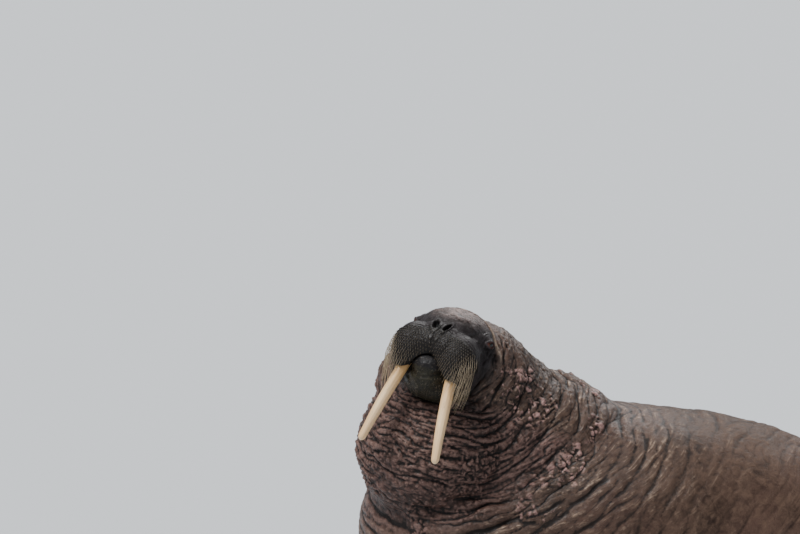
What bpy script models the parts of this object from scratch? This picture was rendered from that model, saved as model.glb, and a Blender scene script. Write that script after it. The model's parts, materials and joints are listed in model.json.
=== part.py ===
"""A life-size adult male walrus, head raised and turned to its left, lying on its belly.

Metres, +Z up, floor at z = 0. The body lies along X with the tail at +X, and the animal's left is -Y.
Head pieces are placed in the head's own frame: forward, left and up from the point midway between the eyes.
"""

import math
import random

import bmesh
import bpy
import numpy as np
from mathutils import Euler, Matrix, Vector
from mathutils.bvhtree import BVHTree

# Driving sizes of the animal.
EYE_HEIGHT = 1.165
EYE_SPACING = 0.300
EYE_RADIUS = 0.021
BACK_HEIGHT = 0.86
BODY_WIDTH = 1.00
TRUNK_LENGTH = 1.92
PAD_WIDTH = 0.170
TUSK_LENGTH = 0.305
TUSK_RADIUS = 0.0222
FOREFLIPPER_LENGTH = 0.40
HIND_FLIPPER_LENGTH = 0.40

# Where the head is, and the way it points: turned to its left, nose up, and rolled towards its left.
SHOULDER = Vector((-0.845, 0.0, 0.43))
EYES = SHOULDER + Vector((-0.23, -0.36, EYE_HEIGHT - 0.43))
HEAD_TURN = math.radians(66.3)
HEAD_PITCH = math.radians(17.8)
HEAD_ROLL = math.radians(14.4)

# The neck's axis from the shoulders to the skull, from between the eyes, with half its width and height.
NECK_STATIONS = [
    (0.300, 0.360, -0.760, 0.440, 0.400),
    (0.210, 0.320, -0.580, 0.410, 0.400),
    (0.134, 0.270, -0.412, 0.370, 0.355),
    (0.077, 0.200, -0.258, 0.314, 0.286),
    (0.051, 0.120, -0.148, 0.246, 0.215),
    (0.018, 0.045, -0.082, 0.176, 0.138),
    (0.002, 0.006, -0.060, 0.150, 0.105),
]
FOLD_SPACING = 0.085
FOLD_DEPTH = 0.013
COLLAR_HEART = Vector((-0.05, 0, -0.12))
COLLAR_REACH = 0.98

# Places on the head: forward, left and up.
NOSTRIL = Vector((0.155, 0.024, -0.009))
EAR = Vector((-0.110, 0.180, 0.010))
EYE = Vector((-0.002, EYE_SPACING / 2 - 0.005, -0.009))
GAZE = Vector((0.50, 0.86, 0.03)).normalized()
LID_THICKNESS = 0.0045
LIDS_PARTED = (0.0175, 0.016, 0.0115)
SNOUT_FRONT = 0.11
MUZZLE_REAR = 0.055

# The nostrils slant, with their upper ends further apart, and a shallow groove runs down from between them.
NOSTRIL_HALF_WIDTH = 0.010
NOSTRIL_HALF_LENGTH = 0.018
NOSTRIL_LEAN = math.radians(26)
NOSTRIL_DEPTH = 0.024
NOSTRIL_RIM = 0.005
GROOVE_DEPTH = 0.006
GROOVE_MIDDLE = -0.075
EAR_RADIUS = 0.013
EAR_DEPTH = 0.022
EAR_RIM = 0.010

BELLY_SINK = 0.055
GAP = 0.0003
BODY_VOXEL = 0.012
HEAD_VOXEL = 0.004
BODY_TRIANGLES = 3100
HEAD_TRIANGLES = 1800
JAW_TRIANGLES = 420

# The lower edge of the whisker pads: its level at the sides, and the arch that it makes over the chin.
PAD_LEVEL = -0.217
ARCH_HEIGHT = 0.095
ARCH_WIDTH = 0.076
ARCH_ROUNDING = 0.004
ARCH_REAR = 0.030
ARCH_FRONT = 0.090

# Whiskers on each pad, from short stubble above to long bristles at the lower outer edge.
PAD_HEART = Vector((0.085, PAD_WIDTH / 2, -0.115))
PAD_REAR = 0.085
WHISKER_ROWS = 8
WHISKER_COLUMNS = 10
WHISKER_RADIUS = 0.0017
WHISKER_ROOT = 0.004
WHISKER_SHORT = 0.012
WHISKER_LONG = 0.115
WHISKER_BENT = 0.030
WHISKER_CLEAR = 0.006
ROWS_FROM, ROWS_SPAN = 0.50, 1.30
COLUMNS_FROM, COLUMNS_SPAN = -0.62, 1.56

# The cuts that part the body and the head: a place in each, and the way it faces.
NECK_CUT = EYES + Vector((0.17, 0.32, -0.58)), Vector((-0.50, -0.23, 0.835))
HIP_CUT = Vector((SHOULDER.x + 1.05, 0, 0.4)), Vector((1, 0, 0))
BODY_CUT_RADIUS = 0.80
MUZZLE_CUT_RADIUS = 0.30

# Finishes: colour and roughness.
FINISHES = {
    "walrus_hide": ((0.16, 0.115, 0.09), 0.6),
    "muzzle_hide": ((0.05, 0.042, 0.038), 0.55),
    "tusk_ivory": ((0.74, 0.58, 0.38), 0.35),
    "eye_dark": ((0.03, 0.015, 0.012), 0.1),
}


def head_axes():
    """Forward, left and up of the head, as unit vectors."""
    forward = Vector((
        -math.cos(HEAD_TURN) * math.cos(HEAD_PITCH),
        -math.sin(HEAD_TURN) * math.cos(HEAD_PITCH),
        math.sin(HEAD_PITCH),
    ))
    level = Vector((0, 0, 1)).cross(forward).normalized()
    upright = forward.cross(level)
    left = level * math.cos(HEAD_ROLL) - upright * math.sin(HEAD_ROLL)
    return forward, left, forward.cross(left)


FORWARD, LEFT, UP = head_axes()
HEAD = Matrix.Translation(EYES) @ Matrix((FORWARD, LEFT, UP)).transposed().to_4x4()


def clear_scene():
    for thing in list(bpy.data.objects):
        bpy.data.objects.remove(thing)


def object_of(name, mesh):
    thing = bpy.data.objects.new(name, mesh)
    bpy.context.scene.collection.objects.link(thing)
    return thing


def mesh_object(name, points, faces):
    mesh = bpy.data.meshes.new(name)
    mesh.from_pydata([tuple(p) for p in points], [], faces)
    return object_of(name, mesh)


def apply_modifiers(thing):
    """Replaces the object's mesh by what its modifiers make of it, in triangles."""
    graph = bpy.context.evaluated_depsgraph_get()
    made = bpy.data.meshes.new_from_object(thing.evaluated_get(graph))
    thing.modifiers.clear()
    bm = bmesh.new()
    bm.from_mesh(made)
    bmesh.ops.triangulate(bm, faces=bm.faces)
    bm.to_mesh(made)
    bm.free()
    thing.data = made
    return thing


def ball(centre, radii, frame=Matrix.Identity(4), turn=(0, 0, 0), segments=32):
    """An ellipsoid with its centre and radii along the frame's own axes."""
    bm = bmesh.new()
    bmesh.ops.create_uvsphere(bm, u_segments=segments, v_segments=segments // 2, radius=1)
    spin = Euler(turn).to_matrix().to_4x4()
    bm.transform(frame @ Matrix.Translation(centre) @ spin @ Matrix.Diagonal((*radii, 1)))
    mesh = bpy.data.meshes.new("ball")
    bm.to_mesh(mesh)
    bm.free()
    return object_of("ball", mesh)


def spread(values, count):
    """A Catmull-Rom curve through rows of values, read at count even steps."""
    rows = np.array([values[0], *values, values[-1]], float)
    made = []
    for at in np.linspace(0, len(values) - 1, count):
        k = min(int(at), len(values) - 2)
        t = at - k
        a, b, c, d = rows[k:k + 4]
        made.append(b + 0.5 * t * (c - a + t * (2 * a - 5 * b + 4 * c - d + t * (3 * (b - c) + d - a))))
    return np.array(made)


def loft(name, stations, side, steps=24, segments=32):
    """A closed body through stations of (x, y, z, half width, half height). Width runs along side."""
    rows = spread(stations, steps)
    ahead = np.gradient(rows[:, :3], axis=0)
    points = []
    for row, way in zip(rows, ahead):
        way = Vector(way).normalized()
        across = (Vector(side) - way * Vector(side).dot(way)).normalized()
        height = way.cross(across)
        for k in range(segments):
            turn = 2 * math.pi * k / segments
            out = across * (row[3] * math.cos(turn)) + height * (row[4] * math.sin(turn))
            points.append(Vector(row[:3]) + out)
    faces = []
    for ring in range(steps - 1):
        for k in range(segments):
            a, b = ring * segments + k, ring * segments + (k + 1) % segments
            faces.append((a, b, b + segments, a + segments))
    faces.append(tuple(reversed(range(segments))))
    faces.append(tuple(range((steps - 1) * segments, steps * segments)))
    made = mesh_object(name, points, faces)
    face_outward(made)
    return made


def face_outward(thing):
    bm = bmesh.new()
    bm.from_mesh(thing.data)
    bmesh.ops.triangulate(bm, faces=bm.faces)
    bmesh.ops.recalc_face_normals(bm, faces=bm.faces)
    bm.to_mesh(thing.data)
    bm.free()


def join(name, things):
    """One object from several, still as separate shells."""
    bm = bmesh.new()
    for thing in things:
        thing.data.transform(thing.matrix_world)
        bm.from_mesh(thing.data)
        bpy.data.objects.remove(thing)
    mesh = bpy.data.meshes.new(name)
    bm.to_mesh(mesh)
    bm.free()
    return object_of(name, mesh)


def fuse(name, things, voxel, smoothing):
    """Overlapping shells made into one soft-cornered skin."""
    whole = join(name, things)
    remesh = whole.modifiers.new("Remesh", "REMESH")
    remesh.mode = "VOXEL"
    remesh.voxel_size = voxel
    smooth = whole.modifiers.new("Smooth", "SMOOTH")
    smooth.factor = 0.5
    smooth.iterations = smoothing
    return apply_modifiers(whole)


def points_of(thing):
    """The object's corner points and the outward directions there, as arrays."""
    mesh = thing.data
    points = np.empty(len(mesh.vertices) * 3)
    mesh.vertices.foreach_get("co", points)
    normals = np.empty(len(mesh.vertices) * 3, np.float32)
    mesh.vertex_normals.foreach_get("vector", normals)
    return points.reshape(-1, 3), normals.reshape(-1, 3)


def in_head_frame(points):
    """Forward, left and up of each point, from the point midway between the eyes."""
    return (points - np.array(EYES)) @ np.array((FORWARD, LEFT, UP)).T


def bell(distance, width):
    return np.exp(-(distance / width) ** 2)


def push(thing, heights):
    """Moves each point of the surface outward by its height."""
    points, normals = points_of(thing)
    thing.data.vertices.foreach_set("co", (points + normals * heights[:, None]).ravel())
    thing.data.update()
    return thing


def pad_edge(left):
    """The level of the pads' lower edge, at a distance to the left of the middle."""
    return PAD_LEVEL + ARCH_HEIGHT * bell(left, ARCH_WIDTH)


def open_mouth(head):
    """Lifts all of the muzzle that is below the pads' edge, so an arch is left for the chin."""
    points = points_of(head)[0]
    ahead, left, up = in_head_frame(points).T
    front = np.clip((ahead - ARCH_REAR) / (ARCH_FRONT - ARCH_REAR), 0, 1)
    lift = front * ARCH_ROUNDING * np.logaddexp(0, (pad_edge(left) - up) / ARCH_ROUNDING)
    head.data.vertices.foreach_set("co", (points + lift[:, None] * np.array(UP)).ravel())
    head.data.update()
    return head


def shape_face(head):
    """Nostrils with raised rims, and the groove between the whisker pads."""
    ahead, left, up = in_head_frame(points_of(head)[0]).T
    front = 1 / (1 + np.exp(-(ahead - SNOUT_FRONT) / 0.008))
    heights = -GROOVE_DEPTH * front * bell(left, 0.008) * bell(up - GROOVE_MIDDLE, 0.045)
    cos, sin = math.cos(NOSTRIL_LEAN), math.sin(NOSTRIL_LEAN)
    for side in (1, -1):
        out, high = left * side - NOSTRIL.y, up - NOSTRIL.z
        across = (out * cos - high * sin) / NOSTRIL_HALF_WIDTH
        along = (high * cos + out * sin) / NOSTRIL_HALF_LENGTH
        reach = np.sqrt(across ** 2 + along ** 2)
        heights += front * NOSTRIL_RIM * bell(reach - 1.5, 0.45)
        heights -= front * NOSTRIL_DEPTH * np.clip(1.25 - reach, 0, 1) ** 0.7
    return push(head, heights)


def neck_path(points):
    """How far along the neck's axis each point is, from the shoulders to the back of the head."""
    axis = np.array([row[:3] for row in NECK_STATIONS]) + np.array(EYES)
    lengths = np.linalg.norm(np.diff(axis, axis=0), axis=1)
    best = np.full(len(points), np.inf)
    along = np.zeros(len(points))
    for k, length in enumerate(lengths):
        way = (axis[k + 1] - axis[k]) / length
        low = -9 if k == 0 else 0
        high = 9 if k == len(lengths) - 1 else length
        step = np.clip((points - axis[k]) @ way, low, high)
        away = np.linalg.norm(points - axis[k] - step[:, None] * way, axis=1)
        closer = away < best
        best = np.where(closer, away, best)
        along = np.where(closer, step + lengths[:k].sum(), along)
    return along


def fold_neck(body):
    """Deep folds of loose skin that ring the face and die away over the shoulders, and the small ears."""
    points, _ = points_of(body)
    along = neck_path(points)
    rings = COLLAR_REACH - np.linalg.norm(points - np.array(HEAD @ COLLAR_HEART), axis=1)
    ahead, left, up = in_head_frame(points).T
    waver = 0.016 * np.sin(5.1 * left + 3.7 * up + 1.3) + 0.010 * np.sin(11.0 * up - 7.0 * left)
    turns = (rings + waver) / FOLD_SPACING
    crest = np.abs(np.sin(math.pi * turns)) ** 0.6
    there = np.clip((along + 0.05) / 0.25, 0, 1)
    heights = FOLD_DEPTH * there * (crest - 0.75)
    for side in (1, -1):
        far = np.linalg.norm(np.column_stack((ahead, left, up)) - (EAR.x, EAR.y * side, EAR.z), axis=1)
        heights += EAR_RIM * bell(far - 1.7 * EAR_RADIUS, EAR_RADIUS) - EAR_DEPTH * bell(far, EAR_RADIUS)
    return push(body, heights)


def trunk_pieces():
    """The trunk from the chest to the rump. Its belly reaches below the floor, where it is cut flat."""
    x0, half = SHOULDER.x, BODY_WIDTH / 2
    profile = [
        (-0.42, 0.50, 0.15, 0.20),
        (-0.37, 0.62, 0.08, 0.42),
        (-0.20, BACK_HEIGHT - 0.04, -0.02, half * 0.90),
        (0.10, BACK_HEIGHT, -BELLY_SINK, half),
        (0.50, BACK_HEIGHT - 0.03, -BELLY_SINK, half),
        (0.90, BACK_HEIGHT - 0.11, -BELLY_SINK, half * 0.93),
        (1.25, 0.585, -BELLY_SINK, half * 0.77),
        (1.55, 0.425, -0.035, half * 0.57),
        (TRUNK_LENGTH - 0.16, 0.285, -0.015, half * 0.37),
        (TRUNK_LENGTH - 0.02, 0.170, 0.015, half * 0.20),
    ]
    stations = [
        (x0 + along, 0, (top + bottom) / 2, wide, (top - bottom) / 2)
        for along, top, bottom, wide in profile
    ]
    trunk = loft("trunk", stations, (0, 1, 0), steps=40, segments=40)
    pieces = [trunk, ball((x0 - 0.10, -0.04, 0.36), (0.47, 0.46, 0.42))]
    for side in (1, -1):
        pieces.append(ball((x0 + 0.02, side * 0.30, 0.28), (0.34, 0.22, 0.30)))
    return pieces


def neck_pieces():
    """The thick neck, from inside the chest up to the back of the head, and the high nape."""
    x, y, z = EYES
    stations = [(x + a, y + b, z + c, wide, high) for a, b, c, wide, high in NECK_STATIONS]
    neck = loft("neck", stations, LEFT, steps=30, segments=40)
    nape = ball((x + 0.33, y + 0.31, z - 0.535), (0.40, 0.36, 0.345))
    throat = ball((x - 0.06, y + 0.12, z - 0.46), (0.30, 0.28, 0.30))
    outer_cheek = ball((x - 0.04, y + 0.20, z - 0.24), (0.24, 0.22, 0.20))
    return [neck, nape, throat, outer_cheek]


def head_pieces():
    """The skull, snout, upper lips and whisker pads, without the lower jaw."""
    half = PAD_WIDTH
    pieces = [
        ball((-0.055, 0, -0.012), (0.185, 0.148, 0.104), HEAD),
        ball((0.000, 0, -0.085), (0.150, 0.142, 0.140), HEAD),
        ball((0.070, 0, -0.050), (0.105, 0.112, 0.068), HEAD),
        ball((0.108, 0, -0.075), (0.090, 0.085, 0.070), HEAD),
    ]
    for side in (1, -1):
        pieces += [
            ball((0.102, side * (half - 0.082), -0.115), (0.098, 0.084, 0.106), HEAD, (0, 0, side * 0.12)),
            ball((0.020, side * 0.080, -0.130), (0.120, 0.080, 0.098), HEAD),
            ball((0.010, side * 0.088, -0.062), (0.095, 0.062, 0.078), HEAD),
            ball((0.108, side * 0.042, -0.088), (0.090, 0.062, 0.072), HEAD),
            ball((-0.014, side * 0.112, 0.003), (0.052, 0.042, 0.034), HEAD),
            ball((EYE.x, side * EYE.y, EYE.z), (EYE_RADIUS + LID_THICKNESS,) * 3, HEAD),
        ]
    return pieces


def lower_jaw():
    """The rounded chin that fills the arch between the whisker pads, with its blunt lower lip."""
    pieces = [
        ball((0.056, 0, -0.198), (0.114, 0.084, 0.082), HEAD),
        ball((0.136, -0.005, -0.165), (0.046, 0.063, 0.044), HEAD),
        ball((0.045, 0, -0.222), (0.095, 0.106, 0.062), HEAD),
        ball((-0.030, 0, -0.180), (0.100, 0.085, 0.075), HEAD),
    ]
    return fuse("lower_jaw", pieces, 0.005, 6)


def tusk(name, side):
    """One curved tusk, oval in section, from inside the jaw to its blunt tip."""
    hidden, ahead, out, down, curl = 0.05, 0.22, 0.17, 0.96, 0.045
    length = TUSK_LENGTH + hidden
    stations = []
    for share in np.linspace(0, 1, 9):
        along = length * share
        place = HEAD @ Vector((
            0.118 + along * ahead - curl * share * share,
            side * (0.092 + along * out),
            -0.150 - along * down,
        ))
        thick = TUSK_RADIUS * (1 - 0.34 * share ** 2.2)
        stations.append((*place, thick, thick * 1.14))
    tip = Vector(stations[-1][:3])
    way = (tip - Vector(stations[-2][:3])).normalized()
    for past, thin in ((0.014, 0.42), (0.020, 0.12)):
        stations.append((*(tip + way * past), TUSK_RADIUS * thin, TUSK_RADIUS * thin))
    return loft(name, stations, LEFT, steps=14, segments=12)


def flipper(name, path, widths, thickness, digits):
    """A flat limb along path, with its digits as ridges that part into scallops at the far edge."""
    rows, columns = 8, 3 * digits
    centres = spread(path, rows)
    across_widths = spread([(w,) for w in widths], rows)[:, 0]
    thick = spread([(t,) for t in thickness], rows)[:, 0]
    ahead = np.gradient(centres, axis=0)
    top, under = [], []
    for r in range(rows):
        way = Vector(ahead[r]).normalized()
        across = way.cross(Vector((0, 0, 1))).normalized()
        above = across.cross(way)
        webbed = max(0.0, (r / (rows - 1) - 0.40) / 0.60)
        for c in range(columns + 1):
            v = 2 * c / columns - 1
            ridge = 0.5 - 0.5 * math.cos(math.pi * digits * (v + 1))
            pull = 0.030 * webbed ** 2 * (1 - ridge) + 0.075 * webbed ** 3 * abs(v) ** 3
            middle = Vector(centres[r]) + across * (v * across_widths[r] / 2) - way * pull
            edge = (1 - v ** 4) ** 0.5
            half = thick[r] / 2 * edge * (1 - 0.40 * webbed * (1 - ridge)) + 0.004
            top.append(middle + above * half)
            under.append(middle - above * half)
    return grid_body(name, top, under, rows, columns + 1)


def grid_body(name, top, under, rows, columns):
    """A closed body from a grid of upper points and the grid under it."""
    lower = len(top)
    faces = []
    for r in range(rows - 1):
        for c in range(columns - 1):
            a = r * columns + c
            b, d, e = a + 1, a + columns, a + columns + 1
            faces += [(a, b, e), (a, e, d)]
            faces += [(lower + a, lower + e, lower + b), (lower + a, lower + d, lower + e)]
    rim = list(range(columns))
    rim += [r * columns + columns - 1 for r in range(1, rows)]
    rim += [(rows - 1) * columns + c for c in range(columns - 2, -1, -1)]
    rim += [r * columns for r in range(rows - 2, 0, -1)]
    faces += [(a, lower + a, lower + b, b) for a, b in zip(rim, rim[1:] + rim[:1])]
    made = mesh_object(name, top + under, faces)
    face_outward(made)
    return made


def flippers():
    """Fore flippers spread beside the chest and hind flippers trailing, all flat on the floor."""
    x0, fore, hind = SHOULDER.x, FOREFLIPPER_LENGTH, HIND_FLIPPER_LENGTH
    made = []
    for name, side in (("left", -1), ("right", 1)):
        path = [
            (x0 + 0.05, side * 0.36, 0.165),
            (x0 + 0.03, side * 0.47, 0.105),
            (x0 + 0.03, side * 0.58, 0.050),
            (x0 + 0.08, side * (0.58 + fore * 0.50), 0.026),
            (x0 + 0.17, side * (0.58 + fore * 0.95), 0.012),
        ]
        made.append(flipper(f"fore_flipper_{name}", path, (0.28, 0.26, 0.25, 0.30, 0.25),
                            (0.150, 0.130, 0.095, 0.060, 0.022), 5))
    for name, side in (("left", -1), ("right", 1)):
        rear = x0 + TRUNK_LENGTH
        path = [
            (rear - 0.16, side * 0.078, 0.095),
            (rear - 0.05, side * 0.090, 0.062),
            (rear + 0.05, side * 0.112, 0.040),
            (rear + hind * 0.50, side * 0.165, 0.024),
            (rear + hind * 0.90, side * 0.215, 0.011),
        ]
        made.append(flipper(f"hind_flipper_{name}", path, (0.11, 0.12, 0.14, 0.22, 0.33),
                            (0.11, 0.10, 0.080, 0.052, 0.020), 5))
    return made


def tail():
    """The short blunt tail between the hind flippers."""
    rear = SHOULDER.x + TRUNK_LENGTH
    stations = [
        (rear - 0.12, 0, 0.130, 0.050, 0.045),
        (rear - 0.02, 0, 0.118, 0.040, 0.032),
        (rear + 0.05, 0, 0.106, 0.026, 0.020),
        (rear + 0.08, 0, 0.100, 0.008, 0.007),
    ]
    return loft("tail", stations, (0, 1, 0), steps=7, segments=10)


def eye(name, side):
    made = ball(HEAD @ Vector((EYE.x, side * EYE.y, EYE.z)), (EYE_RADIUS,) * 3, segments=12)
    made.name = name
    return made


def lid_opening(side):
    """What is cut from the lids, so that they part in an almond over the eye, the way it looks."""
    middle = EYE + GAZE * 0.020
    turn = side * (math.atan2(GAZE.y, GAZE.x) - math.pi / 2)
    return ball((middle.x, side * middle.y, middle.z), LIDS_PARTED, HEAD, (0, 0, turn), segments=16)


def grown(thing, gap=1.2 * GAP):
    """A hidden copy that stands gap proud all over, to cut a socket with."""
    cutter = object_of("cutter", thing.data.copy())
    cutter.data.transform(thing.matrix_world)
    bm = bmesh.new()
    bm.from_mesh(cutter.data)
    bm.normal_update()
    moves = [vertex.normal * gap * min(vertex.calc_shell_factor(), 4) for vertex in bm.verts]
    for vertex, move in zip(bm.verts, moves):
        vertex.co += move
    bm.to_mesh(cutter.data)
    bm.free()
    return cutter


def disc(centre, normal, radius):
    """A cut of GAP's thickness through a body."""
    bm = bmesh.new()
    bmesh.ops.create_cone(bm, cap_ends=True, segments=24, radius1=radius, radius2=radius, depth=GAP)
    bm.transform(Vector(normal).to_track_quat("Z", "Y").to_matrix().to_4x4())
    bm.transform(Matrix.Translation(centre))
    mesh = bpy.data.meshes.new("disc")
    bm.to_mesh(mesh)
    bm.free()
    return object_of("disc", mesh)


def floor_block():
    bm = bmesh.new()
    bmesh.ops.create_cube(bm, size=1)
    bm.transform(Matrix.Translation((0, 0, -0.5)) @ Matrix.Diagonal((8, 8, 1, 1)))
    mesh = bpy.data.meshes.new("floor_block")
    bm.to_mesh(mesh)
    bm.free()
    return object_of("floor_block", mesh)


def carve(body, cutters, operation="DIFFERENCE", solver="EXACT"):
    """Cuts the cutters from the body, or joins them to it, and removes them."""
    group = bpy.data.collections.new("operands")
    bpy.context.scene.collection.children.link(group)
    for cutter in cutters:
        group.objects.link(cutter)
        bpy.context.scene.collection.objects.unlink(cutter)
    change = body.modifiers.new("Carve", "BOOLEAN")
    change.operation = operation
    change.operand_type = "COLLECTION"
    change.collection = group
    change.solver = solver
    apply_modifiers(body)
    for cutter in cutters:
        bpy.data.objects.remove(cutter)
    bpy.data.collections.remove(group)
    return body


def thin_out(thing, triangles):
    """Fewer faces, kept where the surface bends."""
    thing.data.calc_loop_triangles()
    fewer = thing.modifiers.new("Decimate", "DECIMATE")
    fewer.ratio = triangles / len(thing.data.loop_triangles)
    return apply_modifiers(thing)


def islands(thing):
    """The separate closed surfaces of a mesh, each as its own bmesh, largest first."""
    bm = bmesh.new()
    bm.from_mesh(thing.data)
    bm.verts.ensure_lookup_table()
    group = [-1] * len(bm.verts)
    count = 0
    for start in bm.verts:
        if group[start.index] >= 0:
            continue
        stack = [start]
        group[start.index] = count
        while stack:
            for edge in stack.pop().link_edges:
                for vertex in edge.verts:
                    if group[vertex.index] < 0:
                        group[vertex.index] = count
                        stack.append(vertex)
        count += 1
    found = []
    for k in range(count):
        part = bm.copy()
        part.verts.ensure_lookup_table()
        loose = [v for v in part.verts if group[v.index] != k]
        bmesh.ops.delete(part, geom=loose, context="VERTS")
        found.append(part)
    bm.free()
    return sorted(found, key=lambda part: -part.calc_volume())


def part_into(thing, names):
    """Names the largest pieces of a parted body, given in order of size."""
    found = islands(thing)
    bpy.data.objects.remove(thing)
    made = []
    for name, part in zip(names, found):
        mesh = bpy.data.meshes.new(name)
        part.to_mesh(mesh)
        made.append(object_of(name, mesh))
    for part in found:
        part.free()
    return made


def whisker(root, outward, droop, length):
    """Corners and faces of one bristle with three sides, bent down from a sunken root to a fine tip."""
    side = outward.cross(droop).normalized()
    rings = [(-WHISKER_ROOT / length, 1), (0.35, 0.9)]
    if length > WHISKER_BENT:
        rings.append((0.72, 0.62))

    def middle(share):
        return root + outward * (0.9 * length * share) + droop * (0.75 * length * max(share, 0) ** 2)

    points = []
    for share, thick in rings:
        way = (outward + droop * (1.6 * max(share, 0))).normalized()
        rise = way.cross(side)
        for k in range(3):
            turn = 2 * math.pi * k / 3
            out = side * math.cos(turn) + rise * math.sin(turn)
            points.append(middle(share) + out * (WHISKER_RADIUS * thick))
    points.append(middle(1))
    faces = [(2, 1, 0)]
    last = 3 * (len(rings) - 1)
    for ring in range(0, last, 3):
        for k in range(3):
            a, b = ring + k, ring + (k + 1) % 3
            faces += [(a, b, b + 3), (a, b + 3, a + 3)]
    for k in range(3):
        faces.append((last + k, last + (k + 1) % 3, last + 3))
    return points, faces


def bristle_share(place):
    """From 0 high on a pad to 1 at its lower outer edge, where the bristles are longest."""
    low = min(1, max(0, (-0.070 - place.z) / 0.120))
    outer = min(1, max(0, (abs(place.y) - 0.045) / 0.105))
    return min(1, 0.12 * low + 0.88 * low ** 1.4 * outer ** 1.1 + 0.35 * outer ** 4)


def whiskers(muzzle, side):
    """Rows of bristles over one pad, each rooted where a ray from inside the pad leaves it."""
    surface = BVHTree.FromObject(muzzle, bpy.context.evaluated_depsgraph_get())
    chance = random.Random(7 + side)
    turn = HEAD.to_3x3()
    heart = HEAD @ Vector((PAD_HEART.x, side * PAD_HEART.y, PAD_HEART.z))
    made = []
    for row in range(WHISKER_ROWS):
        low = row / (WHISKER_ROWS - 1)
        height = ROWS_FROM - ROWS_SPAN * low
        for column in range(WHISKER_COLUMNS):
            out = COLUMNS_FROM + COLUMNS_SPAN * (column + 0.5 * (row % 2)) / (WHISKER_COLUMNS - 0.5)
            front = 1 - (out * 0.96) ** 2 - (height * 0.9) ** 2
            if front < 0.02:
                continue
            aim = turn @ Vector((math.sqrt(front), side * out, height)).normalized()
            root, normal = surface.ray_cast(heart, aim)[:2]
            if root is None:
                continue
            place = HEAD.inverted() @ root
            if place.x < PAD_REAR or place.z < pad_edge(place.y) + WHISKER_CLEAR:
                continue
            share = bristle_share(place)
            length = WHISKER_SHORT + (WHISKER_LONG - WHISKER_SHORT) * share * chance.uniform(0.85, 1.05)
            aside = turn @ Vector((0.10, side * 0.20 * out, -0.45 - 0.6 * share))
            outward = (normal + aside + Vector((0, 0, -0.30))).normalized()
            droop = (turn @ Vector((-0.15, -side * 0.22, -1)) + Vector((0, 0, -0.4))).normalized()
            bristle = mesh_object("bristle", *whisker(root, outward, droop, length))
            face_outward(bristle)
            made.append(bristle)
    return made


def keep_largest(thing):
    """Leaves only the largest closed surface of a node."""
    found = islands(thing)
    found[0].to_mesh(thing.data)
    for part in found:
        part.free()
    return thing


def material(name):
    colour, roughness = FINISHES[name]
    made = bpy.data.materials.new(name)
    made.use_nodes = True
    shader = made.node_tree.nodes["Principled BSDF"]
    shader.inputs["Base Color"].default_value = (*colour, 1)
    shader.inputs["Roughness"].default_value = roughness
    return made


def main():
    clear_scene()
    body = fold_neck(fuse("body", trunk_pieces() + neck_pieces(), BODY_VOXEL, 14))
    head = open_mouth(fuse("head", head_pieces(), HEAD_VOXEL, 12))
    head = shape_face(fuse("head", [head], HEAD_VOXEL, 5))
    thin_out(body, BODY_TRIANGLES)
    thin_out(head, HEAD_TRIANGLES)
    jaw = thin_out(lower_jaw(), JAW_TRIANGLES)
    tusks = [tusk("tusk_left", 1), tusk("tusk_right", -1)]
    eyes = [eye("eye_left", 1), eye("eye_right", -1)]
    fins = flippers()
    stub = carve(tail(), [grown(thing) for thing in fins])
    limbs = [*fins, keep_largest(stub)]
    cuts = [disc(*cut, BODY_CUT_RADIUS) for cut in (NECK_CUT, HIP_CUT)]
    carve(body, [grown(thing) for thing in [head, jaw, *limbs]] + cuts + [floor_block()])
    for limb in limbs:
        carve(limb, [floor_block()])
    torso, neck, hindquarters = part_into(body, ["torso", "neck", "hindquarters"])
    muzzle_cut = disc(HEAD @ Vector((MUZZLE_REAR, 0, -0.08)), FORWARD, MUZZLE_CUT_RADIUS)
    sockets = [grown(thing) for thing in [jaw, *tusks, *eyes]]
    carve(head, [*sockets, muzzle_cut, lid_opening(1), lid_opening(-1)])
    head, muzzle = part_into(head, ["head", "muzzle"])
    carve(jaw, [grown(thing) for thing in tusks])
    carve(muzzle, whiskers(muzzle, 1) + whiskers(muzzle, -1), "UNION")
    carve(muzzle, [grown(thing) for thing in [jaw, neck, *tusks]])
    keep_largest(muzzle)
    made = {name: material(name) for name in FINISHES}
    for thing in bpy.data.objects:
        name = "walrus_hide"
        if thing in tusks:
            name = "tusk_ivory"
        elif thing in eyes:
            name = "eye_dark"
        elif thing in (muzzle, jaw):
            name = "muzzle_hide"
        thing.data.materials.clear()
        thing.data.materials.append(made[name])


main()
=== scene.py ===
"""The looks of a life-size adult male walrus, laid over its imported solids.

Metres, +Z up, in the frame of the solids. The animal's left is -Y, and its tail is at +X.
Head places are forward, left and up of the point midway between the eyes.
"""

import itertools
import json
import math
import random

import bmesh
import bpy
import numpy as np
from mathutils import Matrix, Vector
from mathutils.bvhtree import BVHTree
from mathutils.kdtree import KDTree

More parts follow.
